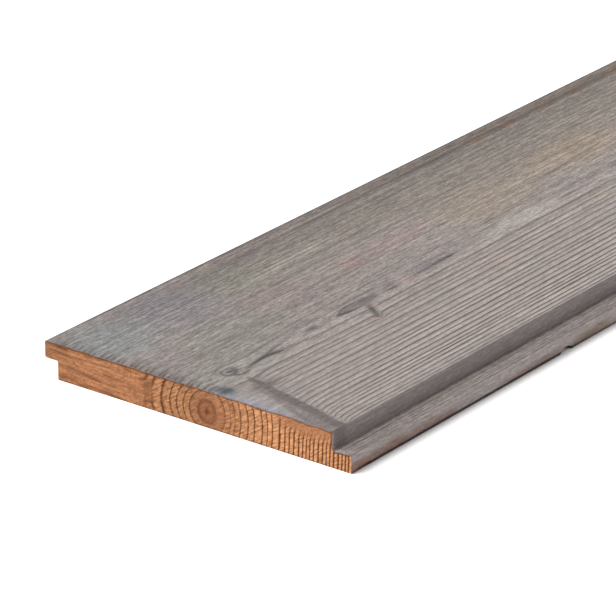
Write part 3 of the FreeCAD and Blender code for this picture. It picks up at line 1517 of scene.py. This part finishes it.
@dataclass
class BakeMap:
    """The board laid out flat on a square of side 1, for its baked textures.

    Attributes:
        strip: height of the strip below the skin, in which the two ends lie side by side.
        margin: least distance from the square's border.
        crowding: less than 1, so that the near part gets more than its share, because its detail is finer.
        end_width: width of one end.
        end_step: distance from one end to the next.
        end_gap: distance of the ends from the skin.
    """

    strip: float = 0.13
    margin: float = 0.002
    crowding: float = 0.62
    end_width: float = 0.49
    end_step: float = 0.5
    end_gap: float = 0.01

    def corners(self, skin: Skin, section: HalfLapSection, ends: list[SawnEnd]) -> Array:
        """Lays out the skin along the board and round the section, and the ends below it.

        Args:
            skin: the planed skin.
            section: the board's section.
            ends: the two sawn ends.

        Returns:
            The place on the map of each corner of each face, one row each.
        """
        run = skin.at.run[:, 0]
        along = self.margin + (1.0 - 2.0 * self.margin) * (run / run[-1]) ** self.crowding
        steps = np.linalg.norm(np.roll(skin.outline, -1, 0) - skin.outline, axis=1)
        round_share = np.concatenate([[0.0], np.cumsum(steps)]) / steps.sum()
        up = self.strip + (1.0 - self.strip - self.margin) * round_share
        row = np.repeat(np.arange(len(run) - 1), len(steps))
        column = np.tile(np.arange(len(steps)), len(run) - 1)
        across = along[np.stack([row, row, row + 1, row + 1], -1)]
        upward = up[np.stack([column, column + 1, column + 1, column], -1)]
        maps = [np.stack([across, upward], -1).reshape(-1, 2)]
        scale = np.array([self.end_width / section.width, (self.strip - self.end_gap) / section.thickness])
        for number, end in enumerate(ends):
            corner = np.array([2.0 * self.margin + self.end_step * number, self.margin])
            maps.append((corner + end.flat * scale)[end.triangles].reshape(-1, 2))
        return np.concatenate(maps)


@dataclass
class CladdingBoard:
    """The one sawn length: its skin carried along the grain and its two sawn ends.

    Attributes:
        section: the section across the grain.
        length: the board's length.
        rings: the growth rings inside it.
        brushing: what the brush did to its skin.
        weathering: how stain and wear lie on it.
        end_grain: what its ends show.
        chip: the chip in its lower lip.
        bake_map: its layout for baking.
        name: name of the piece.
        row_bands: for each stretch, the run where it ends and its spacing of sections.
        far_row: spacing of sections over the plain rest of the length.
    """

    section: HalfLapSection
    length: float
    rings: GrowthRings
    brushing: Brushing
    weathering: Weathering
    end_grain: EndGrain
    chip: Chip = field(default_factory=Chip)
    bake_map: BakeMap = field(default_factory=BakeMap)
    name: str = "brushed_board"
    row_bands: tuple[tuple[float, float], ...] = (
        (30.0, 1.3),
        (66.0, 3.0),
        (112.0, 6.0),
        (140.0, 2.0),
        (182.0, 4.2),
        (195.0, 1.4),
        (560.0, 7.5),
    )
    far_row: float = 30.0

    def rows(self) -> Array:
        """Runs from the near end at which the section is set out, close together round the knots."""
        start, parts = 0.0, []
        for stop, step in (*self.row_bands, (self.length, self.far_row)):
            count = max(1, round((stop - start) / step))
            parts.append(np.linspace(start, stop, count, endpoint=False))
            start = stop
        return np.append(np.concatenate(parts), self.length)

    def planed_skin(self) -> Skin:
        """The skin as the planer left it."""
        outline, facing, owner = self.section.outline(self.rings.pith_reach)
        at = Spots(self.rows()[:, None], outline[:, 0][None], outline[:, 1][None])
        return Skin(at, outline, facing, owner, self.rings.age(at))

    def worked_skin(self, skin: Skin) -> Array:
        """Brushes the skin and breaks the chip out of it.

        Args:
            skin: the planed skin.

        Returns:
            Run, reach and height of each point, one row each.
        """
        at, depth = skin.at, self.brushing.depth(skin)
        sunk = Spots(at.run, at.reach - depth * skin.facing[:, 0], at.height - depth * skin.facing[:, 1])
        worked = self.chip.broken(sunk, self.section.width)
        return np.stack(np.broadcast_arrays(worked.run, worked.reach, worked.height), -1).reshape(-1, 3)

    def build(self) -> bpy.types.Object:
        """Makes the board's closed mesh with its fields, its map and its two finishes' places.

        Returns:
            The board's object at the origin.
        """
        skin = self.planed_skin()
        places = self.worked_skin(skin)
        rows, columns = skin.age.shape
        index = np.arange(rows * columns).reshape(rows, columns)
        after = np.roll(index, -1, 1)
        quads = np.stack([index[:-1], after[:-1], after[1:], index[1:]], -1).reshape(-1, 4)
        ends = []
        for row in (0, rows - 1):
            run = float(skin.at.run[row, 0])
            end = self.end_grain.filled(places[index[row], 1:], index[row], run, len(places))
            places = np.concatenate([places, np.column_stack([np.full(len(end.cells), run), end.cells])])
            ends.append(end)
        end_faces = np.concatenate([end.numbers[end.triangles] for end in ends])
        near_x, edge_y = -self.length / 2, self.section.width / 2
        placed = np.column_stack([near_x + places[:, 0], edge_y - places[:, 1], places[:, 2]]) * MM
        mesh = bpy.data.meshes.new(self.name)
        mesh.from_pydata(placed, [], [*quads.tolist(), *end_faces.tolist()], shade_flat=False)
        slots = np.zeros(len(mesh.polygons), np.int32)
        slots[len(quads) :] = 1
        mesh.polygons.foreach_set("material_index", slots)
        uv_layer = mesh.uv_layers.new(name="OFBake")
        corners = self.bake_map.corners(skin, self.section, ends)
        uv_layer.uv.foreach_set("vector", corners.astype(np.float32).ravel())
        self.write_fields(mesh, self.weathering.fields(skin, self.brushing), ends)
        self.sharpen_ends(mesh, rows, columns)
        board = bpy.data.objects.new(self.name, mesh)
        bpy.context.scene.collection.objects.link(board)
        return board

    def write_fields(self, mesh: bpy.types.Mesh, skin: dict[str, Array], ends: list[SawnEnd]) -> None:
        """Puts the fields on the mesh's points as attributes that the finishes read.

        Args:
            mesh: the board's mesh.
            skin: the fields of the skin's points, which are the mesh's first points.
            ends: the two sawn ends.
        """
        count = len(mesh.vertices)
        values = {}
        for name, field_values in skin.items():
            parts = field_values.shape[2:]
            flat = field_values.reshape(-1, *parts)
            values[name] = np.concatenate([flat, np.ones((count - len(flat), *parts))])
        for end in ends:
            for name, field_values in self.end_grain.fields(end).items():
                values.setdefault(name, np.zeros(count))[end.numbers] = field_values
        for name, field_values in values.items():
            is_colour = field_values.ndim == 2
            attribute = mesh.attributes.new(name, "FLOAT_COLOR" if is_colour else "FLOAT", "POINT")
            if is_colour:
                field_values = np.column_stack([field_values, np.ones(count)])
            part = "color" if is_colour else "value"
            attribute.data.foreach_set(part, field_values.astype(np.float32).ravel())

    def sharpen_ends(self, mesh: bpy.types.Mesh, rows: int, columns: int) -> None:
        """Marks the sawn arrises sharp, so that the ends shade flat.

        Args:
            mesh: the board's mesh.
            rows: number of sections.
            columns: number of points round a section.
        """
        pairs = np.empty(len(mesh.edges) * 2, np.int32)
        mesh.edges.foreach_get("vertices", pairs)
        low, high = np.sort(pairs.reshape(-1, 2), axis=1).T
        beside = np.isin((high - low) % columns, (1, columns - 1)) & (low // columns == high // columns)
        on_end = (low // columns == 0) | (low // columns == rows - 1)
        sharp = mesh.attributes.new("sharp_edge", "BOOLEAN", "EDGE")
        sharp.data.foreach_set("value", beside & on_end)

    def dress(self, board: bpy.types.Object, finishes: tuple["BrushedGreyStain", "SawnEndGrain"]) -> None:
        """Gives the board its finishes and ties it to the frame.

        Args:
            board: the built board.
            finishes: the long grain's finish, then the sawn ends'.
        """
        for finish in finishes:
            board.data.materials.append(finish.material())
        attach(board, "root")
        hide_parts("board")


@dataclass(frozen=True)
class Grain:
    """A noise that is drawn out in one direction, as fibres and brush strokes are.

    Attributes:
        size: size of its grains along, across and up the board, in millimetres.
        low: what it multiplies a colour by at its darkest.
        high: what it multiplies a colour by at its lightest.
        tilt: its turn about the grain's direction, in degrees.
        detail: number of finer noises added to it.
        roughness: how strong those are.
        span: values of the noise that count as darkest and lightest.
    """

    size: tuple[float, float, float]
    low: float
    high: float
    tilt: float = 0.0
    detail: float = 2.0
    roughness: float = 0.6
    span: tuple[float, float] = (0.3, 0.7)

    def draw(
        self, tree: bpy.types.NodeTree, place: bpy.types.NodeSocket
    ) -> tuple[bpy.types.Node, bpy.types.Node]:
        """Adds the noise to a finish.

        Args:
            tree: the finish's node tree.
            place: the surface's own coordinates, in metres.

        Returns:
            The noise itself and what it multiplies a colour by.
        """
        size = tuple(part * MM for part in self.size)
        drawn = {"Vector": place, "Scale": size, "Rotation": (math.radians(self.tilt), 0.0, 0.0)}
        drawn = add_node(tree, "Mapping", drawn, vector_type="TEXTURE")
        noise = {"Vector": drawn, "Scale": 1.0, "Detail": self.detail, "Roughness": self.roughness}
        noise = add_node(tree, "TexNoise", noise)
        darkest, lightest = self.span
        factor = {"From Min": darkest, "From Max": lightest, "To Min": self.low, "To Max": self.high}
        return noise, add_node(tree, "MapRange", {"Value": noise, **factor})


@dataclass(frozen=True)
class BrushedGreyStain:
    """Wire-brushed softwood under a thin grey weathering stain, matt and open-pored.

    The stain gives the eye a warm mid grey. It sinks into the brushed grooves as dark lines, deepened by
    painted shade, wears paler on the hard ridges, and lets the wood's own brown through where it was rubbed
    or missed.

    Attributes:
        plain: the stain on unbrushed wood.
        groove: the stain in the bottom of a brushed groove, darkened further as painted shade.
        slope: on the side of a ridge.
        ridge: on the crest of a ridge.
        mark: on dark knot wood and pith.
        bare_early: raw wood of a year's start.
        bare_late: raw wood of a year's end.
        fibre: the fibres that the brush raised; real ones are finer, and are drawn as coarse as they show.
        speckle: pores and dust between them.
        strokes: long strokes of the brush.
        band: broad streaks of thicker stain.
        beads: how the ridges' contrast breaks up along the grain.
        wobble: how the ridges waver along the grain.
        ragged: how the stain's edge breaks up.
        missed: share of raw wood at which it starts to show and covers.
        roughness: least and greatest roughness.
        ior: index of refraction of the stain's film.
        specular: strength of its gloss.
        fibre_height: height of the fibres, in millimetres.
        fibre_relief: how much of that height shows.
    """

    plain: str = PLAIN_STAIN
    groove: str = "#443b38"
    slope: str = "#908783"
    ridge: str = "#b4aaa5"
    mark: str = "#494040"
    bare_early: str = "#b5805e"
    bare_late: str = "#84543a"
    fibre: Grain = Grain((8.0, 0.85, 0.85), 0.68, 1.32, detail=1.0)
    speckle: Grain = Grain((2.4, 1.1, 1.1), 0.84, 1.16, detail=0.0)
    strokes: Grain = Grain((150.0, 1.6, 1.6), 0.87, 1.13, detail=1.0)
    band: Grain = Grain((90.0, 5.0, 5.0), 0.93, 1.07)
    beads: Grain = Grain((34.0, 2.0, 2.0), 0.78, 1.22)
    wobble: Grain = Grain((60.0, 5.0, 5.0), -0.04, 0.04)
    ragged: Grain = Grain((7.0, 1.2, 1.2), -0.33, 0.33)
    missed: tuple[float, float] = (0.35, 0.65)
    roughness: tuple[float, float] = (0.72, 0.92)
    ior: float = 1.5
    specular: float = 0.3
    fibre_height: float = 0.12
    fibre_relief: float = 0.6

    def material(self) -> bpy.types.Material:
        """Builds the finish from the board's own fields and noise drawn out along the grain.

        Returns:
            The material.
        """
        made = bpy.data.materials.new("brushed_grey_stained_softwood")
        tree = empty_tree(made)
        place = add_node(tree, "TexCoord").outputs["Object"]
        names = "ring_age brushed mark bare shade grainy".split()
        seen = {n: add_node(tree, "Attribute", attribute_name=n).outputs["Fac"] for n in names}
        stain = add_node(tree, "Attribute", attribute_name="stain").outputs["Color"]
        fibre, fine = self.fibre.draw(tree, place)
        shade = fine
        for grain in (self.speckle, self.strokes, self.band):
            factor = grain.draw(tree, place)[1]
            shade = add_node(tree, "Math", {0: shade, 1: factor}, operation="MULTIPLY")
        shade = add_node(tree, "Mix", {0: seen["grainy"], 2: 1.0, 3: shade})
        wobble = self.wobble.draw(tree, place)[1]
        age = add_node(tree, "Math", {0: seen["ring_age"], 1: wobble}, operation="ADD")
        phase = add_node(tree, "Math", {0: age}, operation="FRACT")

        # Over one ring: a dark groove at the year's start, its dark partly pooled stain and partly painted
        # shade, a slope, a pale crest and the drop into the next.
        brushed = [
            (0.0, self.groove),
            (0.03, self.groove),
            (0.15, self.slope),
            (0.52, self.ridge),
            (0.9, self.ridge),
            (1.0, self.groove),
        ]
        ridges = add_node(tree, "ValToRGB", {"Fac": phase}, stops=brushed)
        cut = {0: seen["brushed"], 1: self.beads.draw(tree, place)[1]}
        cut = add_node(tree, "Math", cut, operation="MULTIPLY", use_clamp=True)
        colour = add_node(tree, "Mix", {0: cut, 6: linear(self.plain), 7: ridges}, **OVER)
        for layer in (stain, shade):
            colour = add_node(tree, "Mix", {0: 1.0, 6: colour, 7: layer}, **TIMES)
        dark = add_node(tree, "Math", {0: seen["mark"], 1: fine}, operation="MULTIPLY", use_clamp=True)
        colour = add_node(tree, "Mix", {0: dark, 6: colour, 7: linear(self.mark)}, **OVER)

        # Raw wood shows where the stain missed, with a ragged border.
        years = [
            (0.0, self.bare_early),
            (0.5, self.bare_early),
            (0.92, self.bare_late),
            (1.0, self.bare_early),
        ]
        raw = add_node(tree, "ValToRGB", {"Fac": phase}, stops=years)
        raw = add_node(tree, "Mix", {0: 1.0, 6: raw, 7: fine}, **TIMES)
        ragged = self.ragged.draw(tree, place)[1]
        missed = add_node(tree, "Math", {0: seen["bare"], 1: ragged}, operation="ADD")
        start, full = self.missed
        missed = add_node(tree, "MapRange", {"Value": missed, "From Min": start, "From Max": full})
        colour = add_node(tree, "Mix", {0: missed, 6: colour, 7: raw}, **OVER)
        # The shade field: painted shade in the rebate's corner, painted contact shadow and dirt at the lower
        # lip's foot, painted light on the lip's top.
        colour = add_node(tree, "Mix", {0: 1.0, 6: colour, 7: seen["shade"]}, **TIMES)
        low, high = self.roughness
        rough = add_node(tree, "MapRange", {"Value": fibre, "To Min": low, "To Max": high})
        relief = {"Height": fibre, "Strength": self.fibre_relief, "Distance": self.fibre_height * MM}
        bump = add_node(tree, "Bump", relief)
        gloss = {"IOR": self.ior, "Specular IOR Level": self.specular}
        surface = {"Base Color": colour, "Roughness": rough, "Normal": bump, **gloss}
        add_node(tree, "OutputMaterial", {"Surface": add_node(tree, "BsdfPrincipled", surface)})
        return made


@dataclass(frozen=True)
class SawnEndGrain:
    """Softwood cross-cut by a circular saw and left raw.

    Early wood shows as light tan and late wood as dark brown lines, one pair a year. The pith is reddish,
    knot wood is smooth and even, and the face's stain has crept a little way over the arris.

    Attributes:
        early: wood of a year's start.
        middle: wood of the summer.
        late: wood of the year's end.
        even: wood where no rings show.
        pith: wood at the pith.
        pith_share: how much of that colour the pith takes.
        stain: the stain that crept over the arris.
        dark_thread: the dark thread under that stain and along the foot.
        grain: the cut fibres, drawn as coarse as they show.
        ring_shift: how far those shift the rings, in rings.
        saw: the saw's marks.
        limb: the fibres of a branch that was cut along its length.
        fringe: how the stain's edge breaks up.
        creep: how far the stain crept, in millimetres.
        foot: height of the dark thread along the foot, in millimetres.
        end_foot_darkening: for that thread, the amounts at which it starts and is full, and its strength.
        thread: the same for the thread under the stain.
        crept: the same for the stain.
        roughness: roughness of the sawn wood.
        ior: index of refraction of wood.
        specular: strength of its gloss.
        relief: height of the cut fibres, in millimetres.
        relief_share: how much of that height shows.
    """

    early: str = "#d99c6d"
    middle: str = "#c4885b"
    late: str = "#693a1b"
    even: str = "#b97e57"
    pith: str = "#85432e"
    pith_share: float = 0.7
    stain: str = "#8a888c"
    dark_thread: str = "#4f3424"
    grain: Grain = Grain((1.0, 1.3, 1.3), 0.82, 1.18, detail=1.0)
    ring_shift: float = 0.11
    saw: Grain = Grain((5.0, 4.4, 0.9), 0.66, 1.34, tilt=-32.0, detail=0.0)
    limb: Grain = Grain((5.0, 12.0, 1.4), 0.62, 1.26, tilt=5.0)
    fringe: Grain = Grain((2.0, 9.0, 3.0), -0.24, 0.24, detail=1.0)
    creep: float = 1.9
    foot: float = 1.3
    end_foot_darkening: tuple[float, float, float] = (0.5, 0.85, 0.75)
    thread: tuple[float, float, float] = (0.42, 0.68, 0.65)
    crept: tuple[float, float, float] = (0.8, 0.95, 0.9)
    roughness: float = 0.85
    ior: float = 1.5
    specular: float = 0.25
    relief: float = 0.1
    relief_share: float = 0.5

    def material(self) -> bpy.types.Material:
        """Builds the finish from the ring ages and the end's own fields.

        Returns:
            The material.
        """
        made = bpy.data.materials.new("sawn_raw_softwood_end_grain")
        tree = empty_tree(made)
        place = add_node(tree, "TexCoord").outputs["Object"]
        names = "ring_age end_clear end_thin end_tone end_limb end_streak end_pith end_sawn end_rim".split()
        seen = {n: add_node(tree, "Attribute", attribute_name=n).outputs["Fac"] for n in names}
        noise, fine = self.grain.draw(tree, place)
        span = {"To Min": -self.ring_shift, "To Max": self.ring_shift}
        shift = add_node(tree, "MapRange", {"Value": noise, **span})
        age = add_node(tree, "Math", {0: seen["ring_age"], 1: shift}, operation="ADD")
        phase = add_node(tree, "Math", {0: age}, operation="FRACT")
        phase = add_node(tree, "Math", {0: phase, 1: seen["end_thin"]}, operation="POWER")

        # Over one ring: pale spring wood, browner summer wood and a thin dark line where growth stopped.
        year = [
            (0.0, self.early),
            (0.36, self.early),
            (0.56, self.middle),
            (0.7, self.late),
            (0.93, self.late),
            (1.0, self.early),
        ]
        rings = add_node(tree, "ValToRGB", {"Fac": phase}, stops=year)
        colour = add_node(tree, "Mix", {0: seen["end_clear"], 6: linear(self.even), 7: rings}, **OVER)
        reddish = {0: seen["end_pith"], 1: self.pith_share}
        reddish = add_node(tree, "Math", reddish, operation="MULTIPLY", use_clamp=True)
        colour = add_node(tree, "Mix", {0: reddish, 6: colour, 7: linear(self.pith)}, **OVER)
        sawn = self.saw.draw(tree, place)[1]
        limb = self.limb.draw(tree, place)[1]
        layers = ((fine, 1.0), (sawn, seen["end_sawn"]), (seen["end_tone"], 1.0), (limb, seen["end_limb"]))
        for layer, share in layers:
            colour = add_node(tree, "Mix", {0: share, 6: colour, 7: layer}, **TIMES)
        streaky = {0: seen["end_streak"], 1: fine}
        streaky = add_node(tree, "Math", streaky, operation="MULTIPLY", use_clamp=True)
        colour = add_node(tree, "Mix", {0: streaky, 6: colour, 7: linear(self.late)}, **OVER)

        # The stain's ragged fringe inside the stained arrises, and the dark threads below it and at the foot.
        torn = self.fringe.draw(tree, place)[1]
        height = add_node(tree, "SeparateXYZ", {0: place}).outputs["Z"]
        # The first of these darkens the end towards its foot.
        edges = (
            (height, self.foot * MM, self.end_foot_darkening, self.dark_thread),
            (seen["end_rim"], self.creep, self.thread, self.dark_thread),
            (seen["end_rim"], self.creep, self.crept, self.stain),
        )
        for distance, width, (start, full, most), hue in edges:
            close = add_node(tree, "MapRange", {"Value": distance, "From Min": width, "From Max": 0.0})
            close = add_node(tree, "Math", {0: close, 1: torn}, operation="ADD")
            share = {"Value": close, "From Min": start, "From Max": full, "To Max": most}
            share = add_node(tree, "MapRange", share)
            colour = add_node(tree, "Mix", {0: share, 6: colour, 7: linear(hue)}, **OVER)
        relief = {"Height": noise, "Strength": self.relief_share, "Distance": self.relief * MM}
        bump = add_node(tree, "Bump", relief)
        gloss = {"Roughness": self.roughness, "IOR": self.ior, "Specular IOR Level": self.specular}
        surface = {"Base Color": colour, "Normal": bump, **gloss}
        add_node(tree, "OutputMaterial", {"Surface": add_node(tree, "BsdfPrincipled", surface)})
        return made


@dataclass
class Studio:
    """A pale floor under soft light from the front left, and a camera with a long lens.

    Attributes:
        length: the board's length, in millimetres.
        floor_size: side of the floor, in metres.
        sun_azimuth: direction of the key light, in degrees from the near end towards the upper lip.
        sun_elevation: its height above the floor, in degrees.
        sun_strength: its strength.
        sun_softness: the angle that it fills, in degrees.
        sky_strength: strength of the even light from all round.
        floor_bounce: how much light the floor throws back.
        floor_seen: how bright the floor looks, past 1 so that it is white up to the shadow.
        camera_place: the camera's place from the middle of the near end's foot, in millimetres.
        camera_yaw: its turn from the grain towards the upper lip, in degrees.
        camera_pitch: how far it looks down, in degrees.
        camera_lens: its focal length, in millimetres.
        sensor_width: width of its sensor, in millimetres.
        camera_range: nearest and furthest distance that it sees, in metres.
    """

    length: float
    floor_size: float = 60.0
    sun_azimuth: float = 40.0
    sun_elevation: float = 50.0
    sun_strength: float = 2.3
    sun_softness: float = 40.0
    sky_strength: float = 0.42
    floor_bounce: float = 0.8
    floor_seen: float = 1.38
    camera_place: tuple[float, float, float] = (-1544.3, -1240.0, 907.8)
    camera_yaw: float = 37.126
    camera_pitch: float = 23.108
    camera_lens: float = 253.909
    sensor_width: float = 36.0
    camera_range: tuple[float, float] = (0.01, 200.0)

    def seen_directly(self, tree: bpy.types.NodeTree) -> bpy.types.Node:
        """Adds nodes that give 1 to rays from the camera, in mirrors and through glass, and else 0.

        Args:
            tree: the floor's or the sky's node tree.

        Returns:
            The last of the nodes.
        """
        path = add_node(tree, "LightPath")
        seen = path.outputs["Is Camera Ray"]
        for kind in ("Is Glossy Ray", "Is Transmission Ray"):
            seen = add_node(tree, "Math", {0: seen, 1: path.outputs[kind]}, operation="MAXIMUM")
        return seen

    def floor(self) -> None:
        """Lays a level floor that the camera sees as white apart from the shadow."""
        half = self.floor_size / 2
        corners = [(-half, -half, 0.0), (half, -half, 0.0), (half, half, 0.0), (-half, half, 0.0)]
        mesh = bpy.data.meshes.new("pale_floor")
        mesh.from_pydata(corners, [], [(0, 1, 2, 3)])
        made = bpy.data.materials.new("matt_white_board")
        tree = empty_tree(made)
        bounce = add_node(tree, "BsdfDiffuse", {"Color": (self.floor_bounce,) * 3 + (1.0,)})
        shown = add_node(tree, "BsdfDiffuse", {"Color": (self.floor_seen,) * 3 + (1.0,)})
        mixed = add_node(tree, "MixShader", {0: self.seen_directly(tree), 1: bounce, 2: shown})
        add_node(tree, "OutputMaterial", {"Surface": mixed})
        mesh.materials.append(made)
        floor = bpy.data.objects.new("pale_floor", mesh)
        bpy.context.scene.collection.objects.link(floor)

    def aim(self, thing: bpy.types.Object, turn: float, rise: float, front: str) -> None:
        """Turns a thing towards a direction and puts it into the scene.

        Args:
            thing: the lamp or the camera.
            turn: the direction's turn from the grain towards the upper lip, in degrees.
            rise: how far it points up, in degrees.
            front: the axis of the thing that is to point there.
        """
        turn, rise = math.radians(turn), math.radians(rise)
        towards = Vector((math.cos(turn) * math.cos(rise), math.sin(turn) * math.cos(rise), math.sin(rise)))
        thing.rotation_mode = "QUATERNION"
        thing.rotation_quaternion = towards.to_track_quat(front, "Y")
        bpy.context.scene.collection.objects.link(thing)

    def light(self) -> None:
        """Sets a soft key light and an even sky that shows as white."""
        lamp = bpy.data.lights.new("soft_key", "SUN")
        lamp.energy = self.sun_strength
        lamp.angle = math.radians(self.sun_softness)
        key = bpy.data.objects.new("soft_key", lamp)
        self.aim(key, 180.0 - self.sun_azimuth, self.sun_elevation, "Z")
        world = bpy.data.worlds.new("studio_white")
        bpy.context.scene.world = world
        tree = empty_tree(world)
        shown = {"Value": self.seen_directly(tree), "To Min": self.sky_strength, "To Max": 1.0}
        strength = add_node(tree, "MapRange", shown)
        sky = add_node(tree, "Background", {"Color": WHITE, "Strength": strength})
        add_node(tree, "OutputWorld", {"Surface": sky})

    def camera(self) -> None:
        """Stands the camera where its long lens sees the board as from a raised seat at the near end."""
        lens = bpy.data.cameras.new("long_lens")
        lens.lens = self.camera_lens
        lens.sensor_width = self.sensor_width
        lens.clip_start, lens.clip_end = self.camera_range
        seat = bpy.data.objects.new("long_lens", lens)
        seat.location = Vector(self.camera_place) * MM - Vector((self.length / 2 * MM, 0.0, 0.0))
        self.aim(seat, self.camera_yaw, -self.camera_pitch, "-Z")
        bpy.context.scene.camera = seat


def main() -> None:
    """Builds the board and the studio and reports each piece."""
    logging.basicConfig(level=logging.INFO, format="%(name)s: %(message)s")
    low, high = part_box("board")
    length, width, thickness = ((b - a) / MM for a, b in zip(low, high))
    section = HalfLapSection(width, thickness)
    rings = GrowthRings()
    brushing = Brushing(section, FaceMarks())
    weathering = Weathering(section, length)
    board = CladdingBoard(section, length, rings, brushing, weathering, EndGrain(section, rings, length))
    piece = board.build()
    board.dress(piece, (BrushedGreyStain(), SawnEndGrain()))
    triangles = sum(len(face.vertices) - 2 for face in piece.data.polygons)
    LOG.info("%s: %d points, %d triangles", piece.name, len(piece.data.vertices), triangles)
    studio = Studio(length)
    studio.floor()
    studio.light()
    studio.camera()
    bpy.context.scene.view_settings.view_transform = "Standard"


if __name__ == "__main__":
    main()
